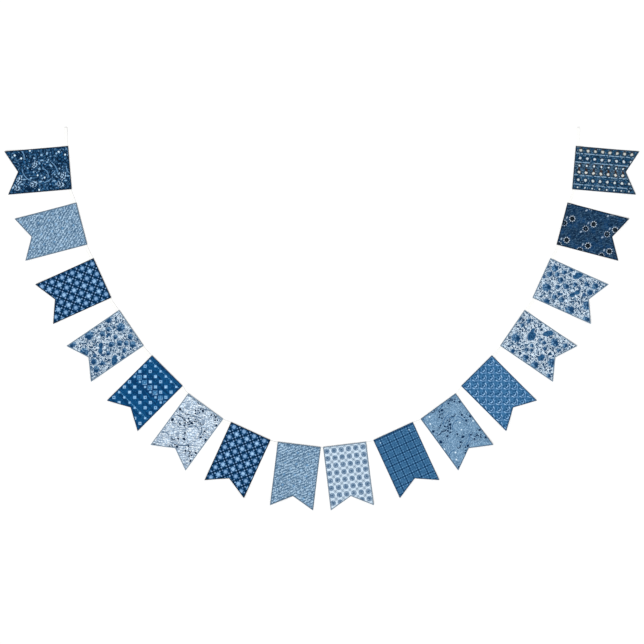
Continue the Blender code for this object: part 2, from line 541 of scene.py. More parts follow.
# Drawing prints


class Draft:
    """A material's node tree while a finish is drawn up on it."""

    def __init__(self, name):
        self.material = bpy.data.materials.new(name)
        self.material.use_nodes = True
        self.tree = self.material.node_tree
        self.shader = self.tree.nodes["Principled BSDF"]

    def add(self, kind, inputs=(), output=0, **settings_of_it):
        """Adds a node with its settings and links, and gives back one of its outputs.

        inputs holds values for the sockets in use, in their order or by name. A value is a number, a vector
        or another node's output.
        """
        node = self.tree.nodes.new("ShaderNode" + kind)
        for setting, value in settings_of_it.items():
            setattr(node, setting, value)
        if isinstance(inputs, dict):
            pairs = [(node.inputs[name], value) for name, value in inputs.items()]
        else:
            pairs = zip([socket for socket in node.inputs if socket.enabled], inputs)
        for socket, value in pairs:
            if isinstance(value, bpy.types.NodeSocket):
                self.tree.links.new(value, socket)
            else:
                socket.default_value = value
        if isinstance(output, str):
            return node.outputs[output]
        return [socket for socket in node.outputs if socket.enabled][output]

    def finish(self, colour, bump, **values):
        """Joins a colour and a bump to the shader, and sets its other values by name."""
        self.tree.links.new(colour, self.shader.inputs["Base Color"])
        if bump is not None:
            self.tree.links.new(bump, self.shader.inputs["Normal"])
        for name, value in values.items():
            self.shader.inputs[name.replace("_", " ")].default_value = value
        return self.material


def wobbled(draft, place, reach, size):
    """The place shifted by up to about reach mm, so that no printed outline is drawn with a ruler."""
    inputs = {"Vector": place, "Scale": 1 / size, "Detail": 1}
    noise = draft.add("TexNoise", inputs, "Color", noise_dimensions="2D")
    centred = draft.add("VectorMath", (noise, (0.5, 0.5, 0.5)), operation="SUBTRACT")
    shift = draft.add("VectorMath", (centred, (4 * reach, 4 * reach, 0)), operation="MULTIPLY")
    return draft.add("VectorMath", (place, shift), operation="ADD")


def repeated(draft, place, repeat, first):
    """The place measured from the middle of its own repeat. first is where one of the middles lies."""
    shifted = draft.add("VectorMath", (place, (*first, 0)), operation="SUBTRACT")
    high = (repeat[0] / 2, repeat[1] / 2, 1)
    low = [-part for part in high]
    return draft.add("VectorMath", (shifted, high, low), operation="WRAP")


# A motif in a print's repeat: its middle across and down and half its width and height, in mm, and its turn
# in degrees
Motif = namedtuple("Motif", "across down wide tall turn", defaults=[0])


def nearest_motif(draft, place, repeat, motifs):
    """The place as seen from the nearest motif, in that motif's own half widths and half heights."""
    nearest = nearest_far = None
    for motif in motifs:
        own = draft.add(
            "Mapping",
            {
                "Vector": repeated(draft, place, repeat, (motif.across, motif.down)),
                "Rotation": (0, 0, math.radians(motif.turn)),
                "Scale": (motif.wide, motif.tall, 1),
            },
            vector_type="TEXTURE",
        )
        far = draft.add("VectorMath", (own,), operation="LENGTH")
        if nearest is None:
            nearest, nearest_far = own, far
            continue
        is_nearer = draft.add("Math", (far, nearest_far), operation="LESS_THAN")
        nearest = draft.add("Mix", (is_nearer, nearest, own), data_type="VECTOR")
        nearest_far = draft.add("Math", (far, nearest_far), operation="MINIMUM")
    return nearest


def scattered(draft, place, pitch, seed):
    """The place measured from the nearest of many scattered points, and that point's own chance, 0 to 1."""
    moved = draft.add("VectorMath", (place, (seed * 37.3, seed * 71.9, 0)), operation="ADD")
    inputs = {"Vector": moved, "Scale": 1 / pitch}
    point = draft.add("TexVoronoi", inputs, "Position", voronoi_dimensions="2D")
    away = draft.add("VectorMath", (moved, point), operation="SUBTRACT")
    flat = draft.add("VectorMath", (away, (1, 1, 0)), operation="MULTIPLY")
    return flat, draft.add("SeparateColor", (point.node.outputs["Color"],))


def both(draft, mask, other):
    """1 where two masks are both 1. A number in place of the second makes the first that much fainter."""
    return draft.add("Math", (mask, other), operation="MULTIPLY")


def apart(draft, measure, other):
    """How far apart two measures are."""
    gap = draft.add("Math", (measure, other), operation="SUBTRACT")
    return draft.add("Math", (gap,), operation="ABSOLUTE")


def off_nearest_line(draft, measure, pitch):
    """How far a measure is from the nearest whole multiple of a pitch."""
    wrapped = draft.add("Math", (measure, pitch / 2, -pitch / 2), operation="WRAP")
    return draft.add("Math", (wrapped,), operation="ABSOLUTE")


def off_axes(draft, place):
    """How far the place is from the middle, across and down."""
    parts = draft.add("SeparateXYZ", (draft.add("VectorMath", (place,), operation="ABSOLUTE"),)).node
    return parts.outputs["X"], parts.outputs["Y"]


def within(draft, measure, limit, blur=0.8):
    """1 where a measure is under its limit and 0 where it is over, with an edge this soft."""
    return draft.add(
        "MapRange", (measure, limit - blur / 2, limit + blur / 2, 1, 0), interpolation_type="SMOOTHSTEP"
    )


def between(draft, measure, low, high, blur=0.8):
    """1 where a measure lies between two limits."""
    return within(draft, apart(draft, measure, (low + high) / 2), (high - low) / 2, blur)


def spot(draft, place, radius, blur=0.8):
    """A round spot."""
    return within(draft, draft.add("VectorMath", (place,), operation="LENGTH"), radius, blur)


def hoop(draft, place, radius, width, blur=0.8):
    """A round line."""
    far = draft.add("VectorMath", (place,), operation="LENGTH")
    return between(draft, far, radius - width / 2, radius + width / 2, blur)


def corner_measure(draft, place):
    """The distance across plus the distance down, which is even along the sides of a diamond."""
    size = draft.add("VectorMath", (place,), operation="ABSOLUTE")
    return draft.add("VectorMath", (size, (1, 1, 0)), operation="DOT_PRODUCT")


def bearing(draft, place, turn=0):
    """The direction of the place from the middle, in radians from the one at this turn in degrees."""
    inputs = {"Vector": place, "Angle": math.radians(-turn)}
    facing = draft.add("VectorRotate", inputs, rotation_type="Z_AXIS")
    parts = draft.add("SeparateXYZ", (facing,)).node
    return draft.add("Math", (parts.outputs["Y"], parts.outputs["X"]), operation="ARCTAN2")


def petal_wave(draft, place, count):
    """A wave round the middle: 1 along each of this many petals and -1 between them."""
    turns = draft.add("Math", (bearing(draft, place), count), operation="MULTIPLY")
    return draft.add("Math", (turns,), operation="COSINE")


def petalled(draft, place, radius, count, notch, blur=0.8):
    """A flower of this many petals. notch is how deep the gaps between them are, as a share of the radius."""
    edge = draft.add("MapRange", (petal_wave(draft, place, count), -1, 1, radius * (1 - notch), radius))
    far = draft.add("VectorMath", (place,), operation="LENGTH")
    return within(draft, draft.add("Math", (far, edge), operation="SUBTRACT"), 0, blur)


def ring_of_dots(draft, place, count, ring, radius, blur=0.8, stretch=1.0):
    """This many dots on a ring. stretch draws them out from the middle."""
    step = math.pi / count
    turn = draft.add("Math", (bearing(draft, place), step, -step), operation="WRAP")
    far = draft.add("VectorMath", (place,), operation="LENGTH")
    out = draft.add("Math", (far, draft.add("Math", (turn,), operation="COSINE")), operation="MULTIPLY")
    aside = draft.add("Math", (far, draft.add("Math", (turn,), operation="SINE")), operation="MULTIPLY")
    past = draft.add("Math", (out, ring), operation="SUBTRACT")
    drawn_in = draft.add("Math", (past, stretch), operation="DIVIDE")
    return spot(draft, draft.add("CombineXYZ", (drawn_in, aside)), radius, blur)


# A line round part of a circle: its middle and radius in mm, and the directions where it starts and ends, in
# degrees from across towards down
Arc = namedtuple("Arc", "across down radius start end")


def arcs_drawn(draft, place, repeat, arcs, width, blur=0.8):
    """Lines along arcs."""
    drawn = 0.0
    for arc in arcs:
        own = repeated(draft, place, repeat, (arc.across, arc.down))
        off = draft.add("Math", (bearing(draft, own, (arc.start + arc.end) / 2),), operation="ABSOLUTE")
        reach = within(draft, off, math.radians(arc.end - arc.start) / 2, 3 / arc.radius)
        line = both(draft, reach, hoop(draft, own, arc.radius, width, blur))
        drawn = draft.add("Math", (drawn, line), operation="MAXIMUM")
    return drawn


def mottling(draft, place, size, seed, detail=0.0):
    """Smooth mottling from 0 to 1 whose patches are about this many mm across."""
    moved = draft.add("VectorMath", (place, (seed * 53.7, seed * 29.1, 0)), operation="ADD")
    return draft.add(
        "TexNoise", {"Vector": moved, "Scale": 1 / size, "Detail": detail}, "Fac", noise_dimensions="2D"
    )


MOTTLING_SPREAD = 0.42  # from the level of the mottling that covers all the cloth to the one that covers none


def patches(draft, place, size, share, seed, blur=0.12):
    """Soft patches about this many mm across. share is roughly how much of the cloth they cover."""
    level = 0.5 + (0.5 - share) * MOTTLING_SPREAD
    mottled = mottling(draft, place, size, seed, 1.0)
    rise = (mottled, level - blur / 2, level + blur / 2, 0, 1)
    return draft.add("MapRange", rise, interpolation_type="SMOOTHSTEP")


LINE_SLOPE = 1.7  # how fast smooth mottling usually changes beside its middle level, for each of its sizes


def curled_lines(draft, place, size, width, seed, blur=0.5):
    """Long curled lines, where smooth mottling of this size passes its middle level."""
    off_middle = apart(draft, mottling(draft, place, size, seed), 0.5)
    in_mm = draft.add("Math", (off_middle, size / LINE_SLOPE), operation="MULTIPLY")
    return within(draft, in_mm, width / 2, blur)


def streaked(draft, place, rise, length, width, share, seed):
    """Long thin streaks that rise by this many degrees to the right."""
    level = draft.add("VectorRotate", {"Vector": place, "Angle": math.radians(rise)}, rotation_type="Z_AXIS")
    squashed = draft.add("VectorMath", (level, (width / length, 1, 0)), operation="MULTIPLY")
    return patches(draft, squashed, 2 * width, share, seed, 0.1)


def specks(draft, place, pitch, radius, share, seed, blur=0.8):
    """Small dots scattered at about this pitch. share is how many of the places have one."""
    away, chance = scattered(draft, place, pitch, seed)
    kept = draft.add("Math", (chance, share), operation="LESS_THAN")
    return both(draft, kept, spot(draft, away, radius, blur))


# Prints
# Each gives its ground colour and its layers from the ground up, a colour and a mask each. Sizes are in mm,
# and shares run from 0 to 1. A seed decides where specks, patches, streaks and curled lines fall.

NO_REPEAT = 1000  # mm, wider than a flag, for what stands once across or down

# The vine print, which three flags have in different colours. Its parts lie in one repeat.
VINE_REPEAT = (142, 142)
VINE_STEMS = named_rows(
    Arc,
    (82, 85, 43.5, -142, -88), (87, 94, 22, -168, -62), (62, 112, 42, 25, 88), (67, 93, 44, -42, -8),
    (20, 24, 22, -135, -60), (58, 78, 34, -60, -28),
)
VINE_TWIGS = named_rows(
    Arc,
    (20, 58, 18.5, 50, 115), (40, 66, 11, 60, 150), (47, 1, 6.5, 5, 175), (93, 50, 7, 10, 170),
    (112, 0, 8, 20, 140),
)
VINE_SPRAYS = named_rows(
    Motif,
    (96, 24, 15, 9, 30), (121, 35, 9, 13, 20), (113, 121, 9, 14, -20), (50, 112, 12, 8, 30),
)
VINE_LEAVES = named_rows(
    Motif,
    (96, 8, 2.6, 6), (110, 17, 2.6, 5.5), (21, 40, 3.0, 3.6, 20), (70, 34, 3.4, 2.8, 20),
    (86, 37, 3.4, 5.2, -35), (95, 46, 2.6, 2.6), (88, 51, 2.4, 3.2, 30), (108, 54, 3.0, 5.2),
    (112, 41, 4.2, 2.8, 20), (119, 49, 3.4, 3.2), (28, 58, 1.8, 1.8), (58, 61, 3.2, 6.5, 40),
    (39, 67, 3.6, 2.6, 20), (46, 72, 2.6, 3.8, -35), (52, 79, 2.2, 2.2), (18, 70, 5.5, 3.4, 20),
    (39, 88, 2.6, 6), (22, 88, 4.0, 4.4), (88, 94, 3.0, 2.8), (98, 92, 2.6, 2.2),
    (107, 98, 2.6, 7, -10), (66, 99, 3.8, 4.6, 20), (47, 97, 3.8, 2.6), (30, 112, 3.0, 4.4, 30),
    (74, 118, 3.6, 2.8), (93, 128, 2.8, 4.2, -30), (60, 136, 3.4, 3.0),
)
VINE_BUDS = named_rows(
    Motif,
    (27, 12, 3.4, 3.0, 45), (16, 32, 3.0, 3.4), (95, 84, 3.0, 2.6, 30), (86, 106, 2.8, 2.8),
    (133, 105, 3.2, 2.8), (5, 124, 2.6, 3.4),
)
VINE_BERRIES = named_rows(
    Motif,
    (72, 18, 4.0, 3.6), (63, 17, 2.4, 3.0), (58, 26, 2.2, 2.2), (52, 31, 2.4, 2.4),
    (66, 28, 2.2, 2.4, 20), (57, 39, 2.4, 2.8), (66, 71, 4.2, 3.6), (57, 71, 2.6, 2.2),
    (49, 66, 2.8, 3.0), (71, 61, 2.8, 2.6), (76, 57, 2.0, 1.8), (68, 55, 2.2, 2.0), (40, 55, 2.4, 2.2),
    (33, 59, 2.2, 1.8), (48, 83, 2.6, 3.0), (43, 77, 2.8, 2.2), (55, 77, 2.4, 2.2),
    (61, 81, 2.0, 4.2, 40), (52, 92, 2.8, 2.4), (37, 96, 3.4, 2.8), (115, 68, 3.2, 2.8),
    (116, 91, 3.0, 3.8, 40), (117, 80, 2.4, 2.0), (102, 13, 2.8, 2.8), (118, 11, 2.4, 2.6),
    (127, 14, 2.2, 2.4), (122, 19, 2.6, 2.2), (134, 30, 2.6, 4.0), (134, 88, 2.8, 4.2, -20),
    (67, 110, 2.8, 2.8), (60, 137, 3.6, 2.8), (101, 137, 3.0, 2.8), (133, 141, 4.5, 2.6),
    (9, 57, 4.0, 3.6), (9, 99, 4.0, 5.0), (76, 127, 5.0, 3.6),
)


# Half of the space that a seed takes in its spray, and half the seed's size, in the spray's half widths and
# half heights, and the seed's slant in degrees
SEED_SPACE = (0.31, 0.4)
SEED_SIZE = (0.25, 0.24)
SEED_SLANT = 40


def vine_stems(draft, place, width):
    """The long curled stems of the vine print."""
    return arcs_drawn(draft, place, VINE_REPEAT, VINE_STEMS, width)


def vine_berries(draft, place):
    """The berries of the vine print, large with small ones round them, and its short twigs."""
    nearest = nearest_motif(draft, place, VINE_REPEAT, VINE_BERRIES)
    small = specks(draft, place, 4.8, 1.15, 0.6, 11, 0.6)
    strewn = both(draft, small, spot(draft, nearest, 4.6, 1.5))
    berries = draft.add("Math", (spot(draft, nearest, 1.12, 0.4), strewn), operation="MAXIMUM")
    twigs = arcs_drawn(draft, place, VINE_REPEAT, VINE_TWIGS, 2.8)
    return draft.add("Math", (berries, twigs), operation="MAXIMUM")


def vine_buds(draft, place, share=1.0):
    """The pale buds of the vine print, at a share of their size."""
    return spot(draft, nearest_motif(draft, place, VINE_REPEAT, VINE_BUDS), share, 0.5)


def vine_seeds(draft, place):
    """The seed heads of the vine print: seeds in slanting pairs, as on an ear of wheat, within each spray."""
    rough = wobbled(draft, place, 1.5, 8)
    spray = nearest_motif(draft, rough, VINE_REPEAT, VINE_SPRAYS)
    aside = off_axes(draft, spray)[0]
    down = draft.add("SeparateXYZ", (spray,), "Y")
    slid = draft.add("Math", (aside, -0.6, down), operation="MULTIPLY_ADD")
    from_first = draft.add("Math", (aside, SEED_SPACE[0]), operation="SUBTRACT")
    across = draft.add("Math", (from_first, SEED_SPACE[0], -SEED_SPACE[0]), operation="WRAP")
    along = draft.add("Math", (slid, SEED_SPACE[1], -SEED_SPACE[1]), operation="WRAP")
    seed = draft.add(
        "Mapping",
        {
            "Vector": draft.add("CombineXYZ", (across, along)),
            "Rotation": (0, 0, math.radians(SEED_SLANT)),
            "Scale": (*SEED_SIZE, 1),
        },
        vector_type="TEXTURE",
    )
    return both(draft, spot(draft, seed, 1.0, 0.6), spot(draft, spray, 1.0, 0.1))


def vine_navy(draft, place):
    """Navy with curled stems, pale leaves and sprays of pale seeds."""
    leaf = nearest_motif(draft, place, VINE_REPEAT, VINE_LEAVES)
    return "#23527A", (
        ("#0E2E4F", patches(draft, place, 16, 0.42, 1, 0.3)),
        ("#17507F", patches(draft, place, 24, 0.3, 7, 0.3)),
        ("#35597A", curled_lines(draft, place, 11, 1.3, 2)),
        ("#06203A", curled_lines(draft, place, 9.5, 1.2, 4)),
        ("#6F97BA", specks(draft, place, 11, 1.6, 0.5, 9)),
        ("#6C98BF", vine_stems(draft, place, 2.3)),
        ("#86AECF", spot(draft, leaf, 0.88, 0.6)),
        ("#0B2A48", spot(draft, nearest_motif(draft, place, VINE_REPEAT, VINE_SPRAYS), 1.0, 0.15)),
        ("#A3C5E2", vine_seeds(draft, place)),
        ("#D3ECFB", vine_buds(draft, place, 0.95)),
    )


def sprig_white(draft, place):
    """Blue-white, thick with fine grey strokes, with the vine's stems in grey and its berries in navy."""
    return "#BDD5ED", (
        ("#DAECFC", patches(draft, place, 9, 0.55, 6, 0.2)),
        ("#EFF9FF", curled_lines(draft, place, 9.5, 1.1, 4)),
        ("#92A6BC", curled_lines(draft, place, 9.0, 0.8, 2)),
        ("#7A8FA6", streaked(draft, place, 28, 9, 1.3, 0.36, 8)),
        ("#4F6984", vine_stems(draft, place, 3.0)),
        ("#0F2A45", vine_berries(draft, place)),
    )


def sprig_blue(draft, place):
    """Light blue with the vine's stems and berries in navy and its buds in white."""
    return "#7A9DBA", (
        ("#7FA3C2", patches(draft, place, 30, 0.45, 8, 0.3)),
        ("#5F83A3", curled_lines(draft, place, 7.5, 0.9, 3)),
        ("#9DBDD6", specks(draft, place, 5.5, 1.4, 0.55, 4, 1.2)),
        ("#5B7F9F", specks(draft, place, 5.8, 1.3, 0.5, 2, 1.4)),
        ("#376591", vine_stems(draft, place, 2.3)),
        ("#0A2C50", vine_berries(draft, place)),
        ("#D2E8F8", vine_buds(draft, place, 0.85)),
    )


def slanting(draft, place, rise, pitch, offset, width, seed):
    """Long parallel lines that rise by this many degrees to the right, worn away in places."""
    level = draft.add("VectorRotate", {"Vector": place, "Angle": math.radians(rise)}, rotation_type="Z_AXIS")
    down = draft.add("SeparateXYZ", (wobbled(draft, level, 1.3, 7),), "Y")
    shifted = draft.add("Math", (down, offset), operation="SUBTRACT")
    off = off_nearest_line(draft, shifted, pitch)
    drawn_out = draft.add("VectorMath", (level, (0.5, 1, 0)), operation="MULTIPLY")
    kept = patches(draft, drawn_out, 7, 0.5, seed, 0.2)
    return both(draft, within(draft, off, width / 2), kept)


def streaks_over(draft, place, rise):
    """Steel blue, flecked light and dark, with fine slanting lines and faint blossoms in staggered rows."""
    repeat = (35.7, 36)
    blossom = repeated(draft, place, repeat, (15, 10))
    other = repeated(draft, place, repeat, (33, 28))
    return "#62809B", (
        ("#7F9EB9", patches(draft, place, 8, 0.45, 3, 0.25)),
        ("#6F9CC4", spot(draft, other, 3.6, 3)),
        ("#85ACCE", spot(draft, blossom, 4.0, 2)),
        ("#36577A", specks(draft, place, 6.2, 1.6, 0.65, 2, 1.0)),
        ("#B8D4EA", specks(draft, place, 6.2, 1.6, 0.6, 6, 1.0)),
        ("#41627F", slanting(draft, place, rise, 8.2, 3.6, 2.2, 4)),
        ("#B2CEE5", slanting(draft, place, rise, 8.2, 0.0, 2.0, 7)),
        ("#406282", both(draft, hoop(draft, blossom, 7.4, 1.6, 1.2), 0.65)),
        ("#A7C6E0", both(draft, ring_of_dots(draft, blossom, 5, 4.2, 1.2), 0.7)),
    )


def streak_steep(draft, place):
    """The streaked cloth with streaks that fall steeply to the right."""
    return streaks_over(draft, place, -48)


def streak_level(draft, place):
    """The streaked cloth with streaks that rise slowly to the right."""
    return streaks_over(draft, place, 30)


def lattice_navy(draft, place):
    """Navy with a darker slanting lattice and a pale blossom in each diamond, every second row brighter."""
    pitch = 35.7
    dim = repeated(draft, place, (pitch, pitch), (15.2, 10.6))
    bright = repeated(draft, place, (pitch, pitch), (15.2 + pitch / 2, 10.6 + pitch / 2))
    off_line = apart(draft, corner_measure(draft, dim), pitch / 2)
    grain = patches(draft, place, 5, 0.5, 2, 0.2)
    return "#0D3C66", (
        ("#002443", within(draft, off_line, 2.9, 3.0)),
        ("#6C93BD", ring_of_dots(draft, dim, 4, 11.6, 2.0, 1.4)),
        ("#7EA5CE", ring_of_dots(draft, bright, 4, 11.4, 2.2, 1.4, 1.2)),
        ("#3A6A97", petalled(draft, dim, 8.2, 8, 0.3, 2.6)),
        ("#4576A3", petalled(draft, bright, 9.2, 8, 0.4, 2.4)),
        ("#7199C2", petalled(draft, dim, 7.0, 8, 0.25, 2.6)),
        ("#7FA8D0", petalled(draft, bright, 7.6, 8, 0.3, 2.4)),
        ("#A9CEEF", both(draft, spot(draft, bright, 4.2, 2.8), grain)),
        ("#94BADF", both(draft, spot(draft, dim, 3.4, 2.4), grain)),
    )


# The blue garden print, which two flags have in one cut and a third in another. Its parts lie in one repeat.
GARDEN_REPEAT = (142, 142)
GARDEN_BLOOMS = named_rows(
    Motif,
    (50, 28, 14, 14, 10), (13, 127, 14, 15), (92, 19, 10, 9, 20), (117, 27, 11, 10),
    (101, 42, 8.5, 7.5, 30), (89, 60, 10, 9), (117, 60, 9, 8, 15), (65, 60, 8, 7),
    (32, 63, 8, 8, 25), (33, 88, 9.5, 9), (78, 83, 9, 10, 10), (8, 46, 9, 11), (96, 108, 8, 8),
    (112, 141, 8, 9, 20), (78, 7, 7, 6), (134, 76, 6, 8),
)
GARDEN_LEAVES = named_rows(
    Motif,
    (62, 114, 10, 7, 35), (76, 125, 10, 8, 25), (47, 76, 5, 9, -15), (126, 105, 19, 9, 42),
    (92, 127, 4, 6, 20),
)
GROVE_BLOOMS = named_rows(
    Motif,
    (50, 28, 14, 15, 20), (12, 128, 12, 12), (108, 138, 12, 12, 10), (15, 90, 9.5, 9),
    (118, 31, 9, 6.5), (95, 22, 7, 5.5, 25), (8, 43, 8, 7), (38, 78, 7.5, 6, 10),
    (58, 84, 7, 6), (45, 93, 6, 5), (88, 112, 5.5, 6.5), (90, 97, 5, 5.5),
    (75, 126, 7, 5.5, 30), (104, 5, 8, 5),
)
GROVE_LEAVES = named_rows(
    Motif,
    (83, 66, 17, 13), (98, 60, 10, 6, -8), (120, 106, 18, 9.5, 42), (44, 132, 13, 9.5, 12),
)


def rings(draft, place, pitch, radius, share, seed):
    """Small light rings with a dark dot in each: where the rings lie, then where the dots do."""
    away, chance = scattered(draft, place, pitch, seed)
    kept = draft.add("Math", (chance, share), operation="LESS_THAN")
    ring = both(draft, kept, hoop(draft, away, radius, 1.7, 1.0))
    dot = both(draft, kept, spot(draft, away, 0.45 * radius, 0.8))
    return ring, dot


def garden(draft, place, blooms, leaves, lines, dots):
    """Grey-blue, thick with light and dark scrolls and rings, with blue blooms and leaves in broken rims.

    lines is the width of the dark scrolls in mm and dots the share of places that have a ring.
    """
    rough = wobbled(draft, place, 1.8, 8)
    bloom = nearest_motif(draft, rough, GARDEN_REPEAT, blooms)
    leaf = nearest_motif(draft, rough, GARDEN_REPEAT, leaves)
    broken = patches(draft, place, 6, 0.62, 11, 0.2)
    threads = curled_lines(draft, place, 9, 1.0, 15)
    light_side = draft.add("VectorMath", (bloom, (0.3, 0.3, 0)), operation="ADD")
    dark_side = draft.add("VectorMath", (bloom, (-0.35, -0.4, 0)), operation="ADD")
    flower = petalled(draft, bloom, 1.12, 8, 0.24, 0.3)
    shade = both(draft, spot(draft, dark_side, 0.62, 0.5), flower)
    shine = both(draft, spot(draft, light_side, 0.5, 0.6), flower)
    scrolls = curled_lines(draft, place, 8.0, lines, 1)
    dark_lines = both(draft, scrolls, patches(draft, place, 16, 0.6, 13, 0.2))
    ring, dot = rings(draft, place, 10.5, 2.6, dots, 7)
    light_ring = rings(draft, place, 13, 2.6, 0.35, 12)[0]
    spokes = draft.add("MapRange", (petal_wave(draft, bloom, 9), 0.3, 0.8, 0, 0.8))
    inner = both(draft, flower, spot(draft, bloom, 0.95, 0.3))
    streaks = both(draft, spokes, inner)
    return "#4E6F8B", (
        ("#6C8AA6", patches(draft, place, 11, 0.5, 3, 0.12)),
        ("#C9DDEE", patches(draft, place, 10, 0.27, 14, 0.12)),
        ("#26486A", patches(draft, place, 11, 0.27, 5, 0.12)),
        ("#1F3F5F", dark_lines),
        ("#2A4B6C", curled_lines(draft, place, 11, 1.7, 8, 0.3)),
        ("#D3E6F5", curled_lines(draft, place, 11, 0.7, 8, 0.3)),
        ("#E4F2FD", ring),
        ("#112C47", dot),
        ("#17344F", specks(draft, place, 9.0, 1.5, 0.3, 6)),
        ("#DCECF9", specks(draft, place, 9.0, 1.7, 0.2, 9)),
        ("#C9DEEF", light_ring),
        ("#D6E8F6", both(draft, spot(draft, leaf, 1.2, 0.2), broken)),
        ("#245078", spot(draft, leaf, 1.04, 0.3)),
        ("#163F66", spot(draft, leaf, 0.7, 0.5)),
        ("#33628B", both(draft, spot(draft, leaf, 0.9, 0.3), threads)),
        ("#2A4C6D", petalled(draft, bloom, 1.62, 8, 0.34, 0.15)),
        ("#C4D9EA", both(draft, petalled(draft, bloom, 1.5, 8, 0.3, 0.2), broken)),
        ("#2B5C84", flower),
        ("#5D88AB", shine),
        ("#86ACCD", streaks),
        ("#12395C", shade),
        ("#1A4571", both(draft, spot(draft, bloom, 0.95, 0.4), threads)),
    )


def garden_white(draft, place):
    """The garden print cut where small blooms crowd it."""
    return garden(draft, place, GARDEN_BLOOMS, GARDEN_LEAVES, 1.3, 0.5)


def grove_white(draft, place):
    """The garden print cut where large leaves lie in it."""
    return garden(draft, place, GROVE_BLOOMS, GROVE_LEAVES, 1.9, 0.6)


def diamond_blue(draft, place):
    """Strong blue with rows of light diamonds, every third row smaller, and a band of large outlined ones."""
    pitch = 23.7
    rows = (pitch, 3 * pitch)
    small = repeated(draft, place, rows, (9, 17.0))
    upper = repeated(draft, place, rows, (9, 17.0 + pitch))
    lower = repeated(draft, place, rows, (9, 17.0 + 2 * pitch))
    large_corner = draft.add(
        "Math", (corner_measure(draft, upper), corner_measure(draft, lower)), operation="MINIMUM"
    )
    eye = draft.add("Math", (spot(draft, upper, 2.2), spot(draft, lower, 1.9)), operation="MAXIMUM")
    band = repeated(draft, place, (pitch, NO_REPEAT), (21.4, 79))
    band_corner = corner_measure(draft, band)
    band_off = apart(draft, band_corner, 17.5)
    rim = between(draft, band_corner, 7.8, 9.8, 1.2)
    worn = patches(draft, place, 11, 0.4, 12, 0.2)
    beads = repeated(draft, place, (pitch / 4, 6 * pitch), (9, 14.6))
    return "#0E4A7A", (
        ("#083A66", streaked(draft, place, 0, 50, 9, 0.42, 3)),
        ("#1C5F94", specks(draft, place, 5.5, 1.4, 0.5, 8, 1.4)),
        ("#052C54", specks(draft, place, 6.2, 1.4, 0.5, 9, 1.4)),
        ("#0A2F5B", within(draft, band_off, 1.5, 1.2)),
        ("#2B6898", within(draft, band_corner, 10.2, 1.2)),
        ("#5288B6", rim),
        ("#9CC4E6", both(draft, rim, worn)),
        ("#5F97C4", within(draft, band_corner, 3.6, 1.6)),
        ("#5B9CC8", both(draft, spot(draft, beads, 1.7), 0.7)),
        ("#8ABAE2", within(draft, corner_measure(draft, small), 4.8, 1.8)),
        ("#5289B9", within(draft, large_corner, 7.6, 1.6)),
        ("#84B4DC", within(draft, large_corner, 5.8, 2.0)),
        ("#ADD0EC", both(draft, within(draft, large_corner, 5.0), worn)),
        ("#164B78", both(draft, eye, patches(draft, place, 22, 0.55, 5))),
    )


def rosette_pale(draft, place):
    """Pale blue with rows of grey-blue rosettes in white rings, and a fine slanting cross between them."""
    repeat = (23.5, 24.0)
    middle = repeated(draft, place, repeat, (10.4, 15.4))
    corner = repeated(draft, place, repeat, (10.4 + repeat[0] / 2, 15.4 + repeat[1] / 2))
    cross = within(draft, apart(draft, *off_axes(draft, corner)), 0.9)
    near = both(draft, cross, spot(draft, corner, 8.0, 2.0))
    spokes = draft.add("MapRange", (petal_wave(draft, middle, 8), 0, 0.8, 0, 0.6))
    disc = spot(draft, middle, 7.6, 2.0)
    dark = both(draft, patches(draft, place, 5, 0.5, 3, 0.2), disc)
    light = both(draft, specks(draft, place, 4.6, 1.4, 0.5, 3), disc)
    return "#AFC3D5", (
        ("#D8EAF8", hoop(draft, middle, 10.7, 2.2, 1.4)),
        ("#93A8BD", spot(draft, middle, 9.3, 2.2)),
        ("#7790AA", spot(draft, middle, 7.4, 3.6)),
        ("#5F7B98", dark),
        ("#A9BED2", light),
        ("#4A6888", both(draft, spokes, disc)),
        ("#44627F", spot(draft, middle, 2.6, 1.6)),
        ("#7F92A6", near),
        ("#5E7287", both(draft, near, patches(draft, place, 9, 0.5, 4, 0.2))),
    )


# The check print's sparks, which are few
CHECK_SPARKS = named_rows(
    Motif,
    (17, 18, 2.2, 2.6), (119, 18, 3.2, 1.8, 40),
)


def check_blue(draft, place):
    """Blue with a dark dashed check, light dots along each of its lines and two sparks."""
    repeat = (23.7, 23.8)
    middle = repeated(draft, place, repeat, (21.3, 5.4))
    size = draft.add("VectorMath", (middle,), operation="ABSOLUTE")
    parts = draft.add("SeparateXYZ", (size,)).node
    off_line = draft.add("Math", (parts.outputs["X"], parts.outputs["Y"]), operation="MINIMUM")
    on_line = draft.add("Math", (parts.outputs["X"], parts.outputs["Y"]), operation="MAXIMUM")
    dash = within(draft, off_nearest_line(draft, on_line, repeat[0] / 3), 2.2, 1.6)
    dot_off = draft.add("Math", (off_line, 4.4), operation="SUBTRACT")
    past_dot = draft.add("Math", (on_line, 4.4), operation="SUBTRACT")
    dot_on = draft.add("Math", (past_dot, 3.7, -3.7), operation="WRAP")
    corner_dot = draft.add("VectorMath", (size, (4.4, 4.4, 0)), operation="SUBTRACT")
    spark = nearest_motif(draft, place, (NO_REPEAT, NO_REPEAT), CHECK_SPARKS)
    return "#38678F", (
        ("#2C5A83", patches(draft, place, 6, 0.45, 2, 0.2)),
        ("#4B7CA5", specks(draft, place, 4.6, 1.2, 0.6, 5, 1.2)),
        ("#27527A", specks(draft, place, 4.8, 1.2, 0.5, 7, 1.2)),
        ("#4F82AD", spot(draft, draft.add("CombineXYZ", (dot_off, dot_on)), 1.1, 1.0)),
        ("#6FA2CD", spot(draft, corner_dot, 1.4, 1.0)),
        ("#24527C", within(draft, off_line, 1.4, 1.4)),
        ("#082B4F", both(draft, within(draft, off_line, 1.5), dash)),
        ("#04233F", spot(draft, middle, 2.0)),
        ("#A6CDEB", spot(draft, spark, 0.9, 0.6)),
    )


